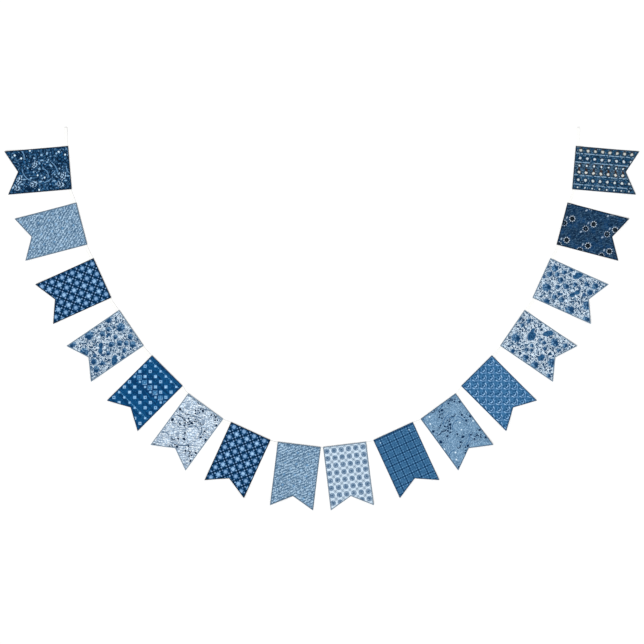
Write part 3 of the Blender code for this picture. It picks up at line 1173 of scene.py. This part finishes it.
def scallop_blue(draft, place):
    """Blue with fish scales in staggered rows, each with a light rim, a dark eye and a light crescent."""
    repeat = (35.4, 36)
    first = (15.4, 17.5)
    one = repeated(draft, place, repeat, first)
    other = repeated(draft, place, repeat, (first[0] + repeat[0] / 2, first[1] + repeat[1] / 2))
    is_nearer = draft.add(
        "Math", (corner_measure(draft, other), corner_measure(draft, one)), operation="LESS_THAN"
    )
    middle = draft.add("Mix", (is_nearer, one, other), data_type="VECTOR")
    side, off_level = off_axes(draft, middle)
    down = draft.add("SeparateXYZ", (middle,), "Y")
    lower = draft.add("MapRange", (down, -7.0, -5.0, 0, 1))
    between_scales = draft.add("Math", (side, off_level), operation="MINIMUM")
    eye = draft.add("VectorMath", (middle, (0, 5.0, 0)), operation="ADD")
    slope = draft.add("Math", (down, 0.85, side), operation="MULTIPLY_ADD")
    rim = both(draft, between(draft, slope, 7.2, 10.2, 1.4), lower)
    flare = draft.add("Math", (down, 0.35, side), operation="MULTIPLY_ADD")
    aside = draft.add("Math", (flare, 9.2), operation="SUBTRACT")
    along = draft.add("Math", (down, 0.36, 0.36), operation="MULTIPLY_ADD")
    arms = spot(draft, draft.add("CombineXYZ", (aside, along)), 1.6, 1.0)
    gap = draft.add("CombineXYZ", (draft.add("Math", (side, 5.8), operation="SUBTRACT"), along))
    low = draft.add("MapRange", (down, -2.5, -0.5, 0, 1))
    crescent = both(draft, hoop(draft, eye, 5.6, 2.0, 1.0), low)
    worn = patches(draft, place, 14, 0.5, 5, 0.3)
    return "#3A6E9A", (
        ("#2B5B86", patches(draft, place, 7, 0.45, 2, 0.2)),
        ("#5285B2", specks(draft, place, 5, 1.3, 0.6, 3, 1.2)),
        ("#174873", draft.add("MapRange", (between_scales, 5.5, 8.0, 0, 1))),
        ("#6690BA", rim),
        ("#1D4A74", spot(draft, gap, 1.2, 1.0)),
        ("#83AFDA", arms),
        ("#A3CAED", both(draft, arms, worn)),
        ("#5A8DBB", both(draft, hoop(draft, eye, 4.0, 1.6, 1.2), worn)),
        ("#18456F", spot(draft, eye, 2.8, 1.6)),
        ("#1A4871", both(draft, hoop(draft, eye, 8.6, 2.2, 1.2), low)),
        ("#7DABD6", crescent),
        ("#A5CDF0", both(draft, crescent, worn)),
    )


# The daisy print's leaves, in one repeat
DAISY_REPEAT = (71.3, 71.3)
DAISY_LEAVES = named_rows(
    Motif,
    (60, 66, 2.6, 4.6, -40), (93, 82, 4.6, 2.4, 10), (21, 82, 4.0, 2.2, 15),
)


def daisy_navy(draft, place):
    """Mottled dark navy with two kinds of daisies, one ringed with bright dots and one with fainter ones."""
    bright = repeated(draft, place, DAISY_REPEAT, (22.5, 28))
    faint = repeated(draft, place, DAISY_REPEAT, (73.5, 78))
    leaf = nearest_motif(draft, place, DAISY_REPEAT, DAISY_LEAVES)
    return "#132E49", (
        ("#07203B", patches(draft, place, 9, 0.45, 1, 0.15)),
        ("#113A63", patches(draft, place, 22, 0.3, 7, 0.3)),
        ("#3C5C78", streaked(draft, place, -60, 6, 1.3, 0.25, 5)),
        ("#24425F", streaked(draft, place, 35, 6, 1.5, 0.25, 6)),
        ("#48647F", specks(draft, place, 9, 1.4, 0.5, 3)),
        ("#91A6BB", spot(draft, leaf, 0.95, 0.4)),
        ("#0D2238", spot(draft, faint, 9.4, 1.5)),
        ("#A3B4C5", ring_of_dots(draft, faint, 9, 8.8, 1.7, 1.0)),
        ("#050F1C", spot(draft, faint, 6.4)),
        ("#46607A", spot(draft, faint, 2.2, 1.2)),
        ("#0A1A2C", spot(draft, bright, 9.4, 1.5)),
        ("#BACAD9", ring_of_dots(draft, bright, 9, 8.8, 1.8, 1.0)),
        ("#01050C", spot(draft, bright, 6.2)),
        ("#34495D", ring_of_dots(draft, bright, 4, 2.4, 0.9)),
    )


# The beads of the striped print, a column each: how far across it is and the beads' radius, in mm, then the
# colour of the beads and of the patch behind each
Beads = namedtuple("Beads", "across radius colour patch")
BEAD_REPEAT = (NO_REPEAT, 23.6)
BEAD_FIRST_ROW = 17.4
BEADS = (
    Beads(7.8, 2.6, "#C9DAE4", "#0C283F"),
    Beads(32.2, 4.2, "#C3CFD2", "#0F2F4B"),
    Beads(57.0, 4.2, "#CFD0CB", "#22384A"),
    Beads(79.0, 2.8, "#D3E3EC", "#0C2134"),
    Beads(102.4, 4.2, "#BFCDD6", "#0F2F4B"),
    Beads(127.6, 4.4, "#C2C4BF", "#2A3F50"),
)
BEAD_LINES = (17.6, 47.8, 89.2, 117.4)
BROWN_MARKS = named_rows(
    Motif,
    (67, 17.4, 6.0, 3.2, -25), (52, 21.0, 2.2, 2.8, 30), (85, 20.5, 2.0, 3.6, 30),
    (134, 18.0, 4.0, 1.8, 40),
)


def bead_stripe(draft, place):
    """Blue with lengthwise rows of cream and white beads, pale dashed lines and a band of brown marks."""
    across = draft.add("SeparateXYZ", (place,), "X")
    rough = wobbled(draft, place, 1.1, 5)
    layers = [
        ("#3A566F", between(draft, across, 48.5, 88.5, 1)),
        ("#0A2C42", streaked(draft, place, 90, 8, 2.4, 0.42, 1)),
        ("#4C7291", specks(draft, place, 6, 1.6, 0.6, 4, 1.2)),
        ("#7C93A3", specks(draft, place, 8, 1.5, 0.5, 5, 1.2)),
        ("#241F2B", specks(draft, place, 9, 1.6, 0.45, 6, 1.2)),
    ]
    dashes = patches(draft, place, 9, 0.72, 6)
    for line in BEAD_LINES:
        on_line = between(draft, across, line - 1.2, line + 1.2, 0.9)
        layers.append(("#8FADC6", both(draft, on_line, dashes)))
    mark = nearest_motif(draft, rough, BEAD_REPEAT, BROWN_MARKS)
    for beads in BEADS:
        middle = repeated(draft, rough, BEAD_REPEAT, (beads.across, BEAD_FIRST_ROW))
        layers.append((beads.patch, spot(draft, middle, 2.0 * beads.radius, 2)))
        layers.append((beads.colour, spot(draft, middle, beads.radius, 2.4)))
    layers.append(("#3A2A22", spot(draft, mark, 0.95, 0.5)))
    return "#1C4566", layers


# Materials

# A print of the set: its slot in the record, how it is drawn, and the colour of the thread sewn through it
Print = namedtuple("Print", "slot drawing thread")
PRINTS = {
    "vine": Print("vine_navy", vine_navy, "#12293F"),
    "steep streaks": Print("streak_pale", streak_steep, "#5E7488"),
    "level streaks": Print("streak_pale", streak_level, "#5E7488"),
    "lattice": Print("lattice_navy", lattice_navy, "#0C2237"),
    "garden": Print("bloom_white", garden_white, "#6F8598"),
    "grove": Print("bloom_white", grove_white, "#6F8598"),
    "diamonds": Print("diamond_blue", diamond_blue, "#173A5B"),
    "sprigs on white": Print("sprig_white", sprig_white, "#7F93A5"),
    "rosettes": Print("rosette_pale", rosette_pale, "#76899A"),
    "check": Print("check_blue", check_blue, "#1F4263"),
    "sprigs on blue": Print("sprig_blue", sprig_blue, "#516C85"),
    "scallops": Print("scallop_blue", scallop_blue, "#2C4E6E"),
    "daisies": Print("daisy_navy", daisy_navy, "#0F2135"),
    "beads": Print("bead_stripe", bead_stripe, "#24384B"),
}

# Each flag from the left end of the swag to the right: its print and how it lies.
# left_tip, right_tip: how high its lower corners are lifted, in mm
# ripple: the height in mm of the one soft ripple in its lower half
# ripple_place: where the ripple lies, from -1 at the left side to 1 at the right
Lie = namedtuple("Lie", "print_name left_tip right_tip ripple ripple_place")
LIES = (
    Lie("vine", 3.0, 1.2, 1.8, 0.25),
    Lie("steep streaks", 1.0, 2.6, 2.2, -0.35),
    Lie("lattice", 2.2, 0.8, 1.5, 0.45),
    Lie("garden", 0.9, 3.2, 2.4, -0.10),
    Lie("diamonds", 2.8, 1.6, 1.6, 0.35),
    Lie("sprigs on white", 1.4, 2.0, 2.0, -0.50),
    Lie("lattice", 2.0, 3.4, 1.4, 0.10),
    Lie("level streaks", 3.1, 1.0, 2.1, -0.30),
    Lie("rosettes", 1.2, 2.4, 1.7, 0.40),
    Lie("check", 2.5, 1.8, 2.3, -0.20),
    Lie("sprigs on blue", 0.8, 2.9, 1.5, 0.30),
    Lie("scallops", 2.7, 1.1, 1.9, -0.45),
    Lie("grove", 1.6, 2.2, 2.5, 0.15),
    Lie("garden", 3.3, 0.9, 1.6, -0.25),
    Lie("daisies", 1.3, 2.7, 2.0, 0.50),
    Lie("beads", 2.4, 1.5, 1.8, -0.15),
)


def laid_flags(flags, tape):
    """Each flag's number, how it lies, the middle of its top edge and its rise."""
    for number, (lie, (place, rise)) in enumerate(zip(LIES, flag_places(flags, tape)), start=1):
        yield number, lie, place, rise


def edge_distance(draft, place, flags):
    """How far a place on a flag is from the nearest cut edge, in mm."""
    half = flags.width / MM / 2
    length = flags.length / MM
    notch = flags.notch_depth / MM
    slope = notch / half
    parts = draft.add("SeparateXYZ", (place,)).node
    across = apart(draft, parts.outputs["X"], half)
    to_side = draft.add("Math", (half, across), operation="SUBTRACT")
    end = draft.add("Math", (across, slope, length - notch), operation="MULTIPLY_ADD")
    past = draft.add("Math", (end, parts.outputs["Y"]), operation="SUBTRACT")
    to_notch = draft.add("Math", (past, math.cos(math.atan(slope))), operation="MULTIPLY")
    nearest = draft.add("Math", (to_side, to_notch), operation="MINIMUM")
    return draft.add("Math", (nearest, parts.outputs["Y"]), operation="MINIMUM")


PRINT_WOBBLE = (0.35, 3.0)  # how unevenly the dye takes: its reach and its size, in mm
SLUB_WIDTH = 2.6  # mm, twice the real width, so that it shows
SLUB_LENGTH = 16  # mm
UNDYED = "#DDE3E8"


def cotton_poplin(print_name, flags):
    """Cotton poplin, plain woven, printed on one side and overlocked: matt, with uneven threads and slubs."""
    drawing, thread_colour = PRINTS[print_name][1:]
    draft = Draft("printed_cotton_poplin_" + print_name.replace(" ", "_"))
    place = draft.add("UVMap", (), uv_map="cloth")
    ground, layers = drawing(draft, wobbled(draft, place, *PRINT_WOBBLE))
    colour = (*linear_rgb(ground), 1)
    for layer_colour, mask in layers:
        colour = draft.add("Mix", (mask, colour, (*linear_rgb(layer_colour), 1)), data_type="RGBA")

    # Slubs, threads that are thicker and take more dye here and there, run both ways
    close = 1 / SLUB_WIDTH
    drawn_out = 1 / SLUB_LENGTH
    warp = draft.add("VectorMath", (place, (close, drawn_out, 0)), operation="MULTIPLY")
    weft = draft.add("VectorMath", (place, (drawn_out, close, 0)), operation="MULTIPLY")
    slubs = (mottling(draft, warp, 1, 0, 1), mottling(draft, weft, 1, 3, 1))
    slubs = draft.add("Math", slubs, operation="ADD")
    shade = draft.add("MapRange", (slubs, 0.6, 1.4, 1 - flags.slub, 1 + flags.slub))
    colour = draft.add("VectorMath", {"Vector": colour, "Scale": shade}, operation="SCALE")

    # The overlocked edge is thread wrapped slantwise over a narrow band, with painted shade between the wraps
    band = within(draft, edge_distance(draft, place, flags), flags.edge_width / MM, 0.6)
    slant = draft.add("VectorMath", (place, (1, 1, 0)), operation="DOT_PRODUCT")
    half_pitch = flags.edge_thread / MM / 2
    winding = draft.add("Math", (slant, half_pitch), operation="PINGPONG")
    # Painted shade and highlight: the thread is darker between its wraps and lighter on their crests
    painted_wrap_shade = draft.add("MapRange", (winding, 0, half_pitch, 0.6, 1.25))
    thread = draft.add("VectorMath", {"Vector": linear_rgb(thread_colour), "Scale": painted_wrap_shade}, operation="SCALE")
    colour = draft.add("Mix", (band, colour, thread), data_type="RGBA")

    # The wrong side shows the print through undyed cotton
    wrong_side = draft.add("Attribute", (), "Fac", attribute_name="wrong_side")
    paler = draft.add("Math", (wrong_side, flags.wrong_side_pale), operation="MULTIPLY")
    colour = draft.add("Mix", (paler, colour, (*linear_rgb(UNDYED), 1)), data_type="RGBA")

    # A plain weave: threads over and under by turns, both ways
    inputs = {"Vector": place, "Scale": math.pi / (flags.thread / MM)}
    scaled = draft.add("VectorMath", inputs, operation="SCALE")
    waves = draft.add("SeparateXYZ", (draft.add("VectorMath", (scaled,), operation="SINE"),)).node
    weave = draft.add("Math", (waves.outputs["X"], waves.outputs["Y"]), operation="MULTIPLY")
    off_band = draft.add("Math", (1.0, band), operation="SUBTRACT")
    woven = draft.add("Math", (weave, off_band), operation="MULTIPLY")
    height = draft.add("Math", (band, winding, woven), operation="MULTIPLY_ADD")
    bump = draft.add("Bump", {"Height": height, "Strength": 0.3, "Distance": 0.12 * MM})
    return draft.finish(
        colour, bump, Roughness=0.9, Specular_IOR_Level=0.03, Sheen_Weight=0.01, Sheen_Roughness=0.5
    )


def herringbone_tape(tape):
    """Bleached cotton tape, woven in herringbone: matt, with fine ribs that meet along its middle, and painted
    shade between the ribs.
    """
    draft = Draft("bleached_cotton_herringbone")
    place = draft.add("UVMap", (), uv_map="cloth")
    parts = draft.add("SeparateXYZ", (place,)).node
    from_middle = apart(draft, parts.outputs["Y"], tape.width / MM / 2)
    slant = draft.add("Math", (parts.outputs["X"], from_middle), operation="ADD")
    half_rib = tape.rib / MM / 2
    rib = draft.add("Math", (slant, half_rib), operation="PINGPONG")
    level = draft.add("MapRange", (rib, 0, half_rib, 0, 1), interpolation_type="SMOOTHSTEP")
    uneven = mottling(draft, place, 4, 1, 2)
    between_ribs = draft.add("MapRange", (uneven, 0.3, 0.7, 0.91, 0.95))
    # Painted shade: the grooves between the ribs are darker than their crests, over the cloth's uneven tone
    shade = draft.add("Math", (level, 0.06, between_ribs), operation="MULTIPLY_ADD")
    colour = draft.add("VectorMath", {"Vector": tape.colour, "Scale": shade}, operation="SCALE")
    bump = draft.add("Bump", {"Height": level, "Strength": 0.5, "Distance": 0.15 * MM})
    return draft.finish(colour, bump, Roughness=0.9, Specular_IOR_Level=0.15, Sheen_Weight=0.05)


def twisted_thread(name, colour):
    """Spun sewing thread of two plies: matt, with painted shade in slanting lines where the plies meet."""
    draft = Draft(name)
    place = draft.add("UVMap", (), uv_map="UVMap")
    slant = draft.add("VectorMath", (place, (2, 3, 0)), operation="DOT_PRODUCT")
    ply = draft.add("Math", (slant, 0.5), operation="PINGPONG")
    # Painted shade where the plies meet, and painted highlight on their crests
    shade = draft.add("MapRange", (ply, 0, 0.5, 0.6, 1.1), interpolation_type="SMOOTHSTEP")
    shaded = draft.add("VectorMath", {"Vector": colour, "Scale": shade}, operation="SCALE")
    bump = draft.add("Bump", {"Height": ply, "Strength": 0.4, "Distance": 0.05 * MM})
    return draft.finish(shaded, bump, Roughness=0.7, Specular_IOR_Level=0.3)


# Settings that a user would change


def length_in_mm(name, size, description):
    """A length that a user would change, with its default in mm."""
    return FloatProperty(name=name, description=description, default=size * MM, unit="LENGTH")


def share_of_one(name, share, description):
    """A share from 0 to 1 that a user would change."""
    return FloatProperty(name=name, description=description, default=share, subtype="FACTOR")


def colour_of(name, hex_colour, description):
    """A colour that a user would change."""
    default = linear_rgb(hex_colour)
    return FloatVectorProperty(name=name, description=description, default=default, subtype="COLOR")


class FlagSettings(bpy.types.PropertyGroup):
    """Sizes of the flags, their cloth and their stitches."""

    width: length_in_mm("Width", 140, "Width of a flag")
    length: length_in_mm("Length", 206, "From a flag's top edge to its tips")
    notch_depth: length_in_mm("Notch depth", 38, "Depth of the V in the lower edge")
    cloth_thickness: length_in_mm("Cloth thickness", 0.5, "Thickness of the plain cloth")
    edge_thickness: length_in_mm("Edge thickness", 0.9, "Thickness of the overlocked edge")
    edge_width: length_in_mm("Edge width", 3, "Width of the overlocked edge")
    edge_thread: length_in_mm(
        "Edge thread pitch", 6.5, "Pitch of the thread round the edge, coarser than the real 2 mm so it shows"
    )
    thread: length_in_mm(
        "Thread pitch", 0.9, "Pitch of the weave, at twice the real 0.45 mm so it shows from close by"
    )
    slub: share_of_one("Slubs", 0.12, "How much darker or lighter single threads are")
    wrong_side_pale: share_of_one("Wrong side", 0.5, "How much paler the print is on the back")
    clearance: length_in_mm("Clearance", 0.3, "Between a flag and the tape under it")
    seat_end: length_in_mm("Seat end", 12, "How far down a flag lies level on the tape")
    ease_end: length_in_mm("Ease end", 34, "How far down a flag reaches the surface")
    tip_reach: length_in_mm("Tip reach", 80, "How far a lifted tip lifts the cloth round it")
    ripple_reach: length_in_mm("Ripple reach", 34, "Half the width of the ripple")
    ripple_start: length_in_mm("Ripple start", 60, "How far down the ripple begins")
    seam: length_in_mm("Seam", 6, "How far the stitches are from the top edge")
    seam_dip: length_in_mm("Seam dip", 0.25, "How far the stitches draw the cloth down")
    seam_reach: length_in_mm("Seam reach", 2, "How far from the stitches the dip reaches")
    stitch_pitch: length_in_mm("Stitch pitch", 3.3, "From one stitch to the next")
    stitch_length: length_in_mm("Stitch length", 2.6, "The part of a stitch that shows")
    stitch_width: length_in_mm("Stitch width", 0.45, "Thickness of the sewing thread")
    columns: IntProperty(name="Columns", description="Mesh columns between the edges", default=40)
    rows: IntProperty(name="Rows", description="Mesh rows below the seam", default=50)


class TapeSettings(bpy.types.PropertyGroup):
    """Sizes and colour of the tape."""

    width: length_in_mm("Width", 10, "Width of the tape")
    top: FloatProperty(
        name="Top",
        description="Height of its upper side, from the packed tape",
        default=TAPE_BOX[1][2],
        unit="LENGTH",
    )
    thickness: length_in_mm("Thickness", 0.85, "Thickness of its selvedges")
    thin_share: share_of_one("Thin share", 0.8, "Thickness between the selvedges, as a share")
    selvedge: length_in_mm("Selvedge", 0.5, "Half the width of a selvedge")
    rib: length_in_mm("Rib", 1.2, "Pitch of the herringbone's ribs")
    inset: length_in_mm("Inset", 1, "How far the flags stand past its inner edge")
    tail: length_in_mm("Tail", 60, "Free tape past each end flag")
    ruffle: length_in_mm("Ruffle", 4, "Height of the ruffles for a bend of one radian")
    ruffle_pitch: length_in_mm("Ruffle pitch", 12, "From one ruffle to the next")
    curl: length_in_mm("Curl", 1.2, "How far the free ends curl up")
    fray_length: length_in_mm("Fray", 4, "Length of the loose threads at its cut ends")
    fray_thread: length_in_mm("Fray thread", 0.35, "Thickness of the loose threads")
    fray_count: IntProperty(name="Fray threads", description="Loose threads at each end", default=9)
    rows: IntProperty(name="Rows", description="Mesh rows between the selvedges", default=6)
    gap_steps: IntProperty(name="Gap steps", description="Mesh steps along each bare gap", default=12)
    flag_steps: IntProperty(name="Flag steps", description="Mesh steps along each flag", default=28)
    colour: colour_of("Colour", "#FBFBF9", "Bleached cotton")


class StageSettings(bpy.types.PropertyGroup):
    """Floor, light and camera."""

    floor: FloatProperty(name="Floor", description="Side of the square floor", default=14.0, unit="LENGTH")
    floor_colour: colour_of("Floor colour", "#FBFBFB", "White card")
    lens: FloatProperty(name="Lens", description="Focal length in millimetres", default=85.0, unit="CAMERA")
    sun: FloatProperty(name="Sun", description="Strength of the large soft light", default=1.72)
    sky: FloatProperty(name="Sky", description="Strength of the even light from all sides", default=0.67)


def settings():
    """The settings of the open scene."""
    scene = bpy.context.scene
    return scene.bunting_flags, scene.bunting_tape, scene.bunting_stage


class WeaveTape(bpy.types.Operator):
    """Make the tape with its frayed ends"""

    bl_idname = "bunting.weave_tape"
    bl_label = "Tape"

    def execute(self, context):
        flags, tape, _ = settings()
        fray = make_fray(flags, tape)
        fray.data.materials.append(twisted_thread("bleached_cotton_yarn", tape.colour))
        piece, length = make_tape(flags, tape)
        map_tape_for_baking(piece, tape, length)
        piece.data.materials.append(herringbone_tape(tape))
        for part in (piece, fray):
            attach(part, "root")
        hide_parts("tape")
        # A sheet may not be narrower
        return {"FINISHED"}


class RunStitches(bpy.types.Operator):
    """Run a row of stitches through each flag and the tape"""

    bl_idname = "bunting.run_stitches"
    bl_label = "Stitches"

    def execute(self, context):
        flags, tape, _ = settings()
        row = make_stitch_row(flags)
        threads = {}
        for number, lie, place, rise in laid_flags(flags, tape):
            print_of_it = PRINTS[lie.print_name]
            if print_of_it.slot not in threads:
                name = f"spun_thread_{print_of_it.slot}"
                threads[print_of_it.slot] = twisted_thread(name, linear_rgb(print_of_it.thread))
            stitches = lay_stitches(row, number, lie, place, rise, flags, tape)
            stitches.data.materials.append(threads[print_of_it.slot])
            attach(stitches, "root")
        bpy.data.objects.remove(row)
        return {"FINISHED"}


class SewFlags(bpy.types.Operator):
    """Make the sixteen printed flags"""

    bl_idname = "bunting.sew_flags"
    bl_label = "Flags"

    def execute(self, context):
        flags, tape, _ = settings()
        materials = {}
        for number, lie, place, rise in laid_flags(flags, tape):
            flag = make_flag(number, lie, place, rise, flags, tape)
            if lie.print_name not in materials:
                materials[lie.print_name] = cotton_poplin(lie.print_name, flags)
            flag.data.materials.append(materials[lie.print_name])
            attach(flag, "root")
            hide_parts(f"flag_{number:02d}")
        return {"FINISHED"}


CARD_DROP = 0.2  # how far the floor lies under the bunting, in mm
CARD_GRAIN = 300  # grains of the card to a metre
SUN_TURN = (32, -24)  # degrees about X and Y
SUN_SIZE = 40  # how wide the soft light looks from the bunting, in degrees
SENSOR = 36.0  # the width of the camera's sensor, in mm
CAMERA_REACH = 100  # metres


class SetStage(bpy.types.Operator):
    """Set up the floor, the light and the camera"""

    bl_idname = "bunting.set_stage"
    bl_label = "Stage"

    def execute(self, context):
        flags, _, stage = settings()
        scene = context.scene
        bpy.ops.object.select_all(action="DESELECT")
        bpy.ops.mesh.primitive_plane_add(size=stage.floor, location=(0, 0, -CARD_DROP * MM))
        floor = context.object
        floor.name = "floor"
        bpy.ops.object.transform_apply(location=True, rotation=False, scale=False)
        draft = Draft("white_card")
        place = draft.add("TexCoord", (), "Object")
        grain = draft.add("TexNoise", {"Vector": place, "Scale": CARD_GRAIN, "Detail": 2}, "Fac")
        shade = draft.add("MapRange", (grain, 0.3, 0.7, 0.985, 1.0))
        colour = draft.add("VectorMath", {"Vector": stage.floor_colour, "Scale": shade}, operation="SCALE")
        floor.data.materials.append(draft.finish(colour, None, Roughness=0.95, Specular_IOR_Level=0.1))

        turn = [math.radians(part) for part in SUN_TURN]
        bpy.ops.object.light_add(type="SUN", rotation=(*turn, 0))
        sun = context.object
        sun.name = "softbox"
        sun.data.energy = stage.sun
        sun.data.angle = math.radians(SUN_SIZE)

        world = bpy.data.worlds.new("white_room")
        world.use_nodes = True
        background = world.node_tree.nodes["Background"]
        background.inputs["Color"].default_value = (1, 1, 1, 1)
        background.inputs["Strength"].default_value = stage.sky
        scene.world = world

        view_width = PHOTO_PIXELS / FLAG_PIXELS * flags.width
        height = view_width * stage.lens / SENSOR
        middle = [part * MM for part in PHOTO_MIDDLE]
        bpy.ops.object.camera_add(location=(*middle, height), rotation=(0, 0, 0))
        camera = context.object
        camera.name = "camera"
        camera.data.lens = stage.lens
        camera.data.sensor_width = SENSOR
        camera.data.clip_end = CAMERA_REACH
        scene.camera = camera
        scene.view_settings.view_transform = "Standard"
        return {"FINISHED"}


class BuntingPanel(bpy.types.Panel):
    """Shows the bunting's buttons and settings"""

    bl_idname = "VIEW3D_PT_bunting"
    bl_label = "Bunting"
    bl_space_type = "VIEW_3D"
    bl_region_type = "UI"
    bl_category = "Bunting"

    def draw(self, context):
        for operator in OPERATORS:
            self.layout.operator(operator.bl_idname)
        for group in settings():
            box = self.layout.box()
            for name in group.bl_rna.properties.keys():
                if name not in ("rna_type", "name"):
                    box.prop(group, name)


OPERATORS = (WeaveTape, RunStitches, SewFlags, SetStage)
CLASSES = (FlagSettings, TapeSettings, StageSettings, *OPERATORS, BuntingPanel)


def register():
    for cls in CLASSES:
        bpy.utils.register_class(cls)
    bpy.types.Scene.bunting_flags = PointerProperty(type=FlagSettings)
    bpy.types.Scene.bunting_tape = PointerProperty(type=TapeSettings)
    bpy.types.Scene.bunting_stage = PointerProperty(type=StageSettings)


def unregister():
    del bpy.types.Scene.bunting_flags
    del bpy.types.Scene.bunting_tape
    del bpy.types.Scene.bunting_stage
    for cls in reversed(CLASSES):
        bpy.utils.unregister_class(cls)


def main():
    register()
    bpy.ops.bunting.weave_tape()
    bpy.ops.bunting.run_stitches()
    bpy.ops.bunting.sew_flags()
    bpy.ops.bunting.set_stage()


if __name__ == "__main__":
    main()
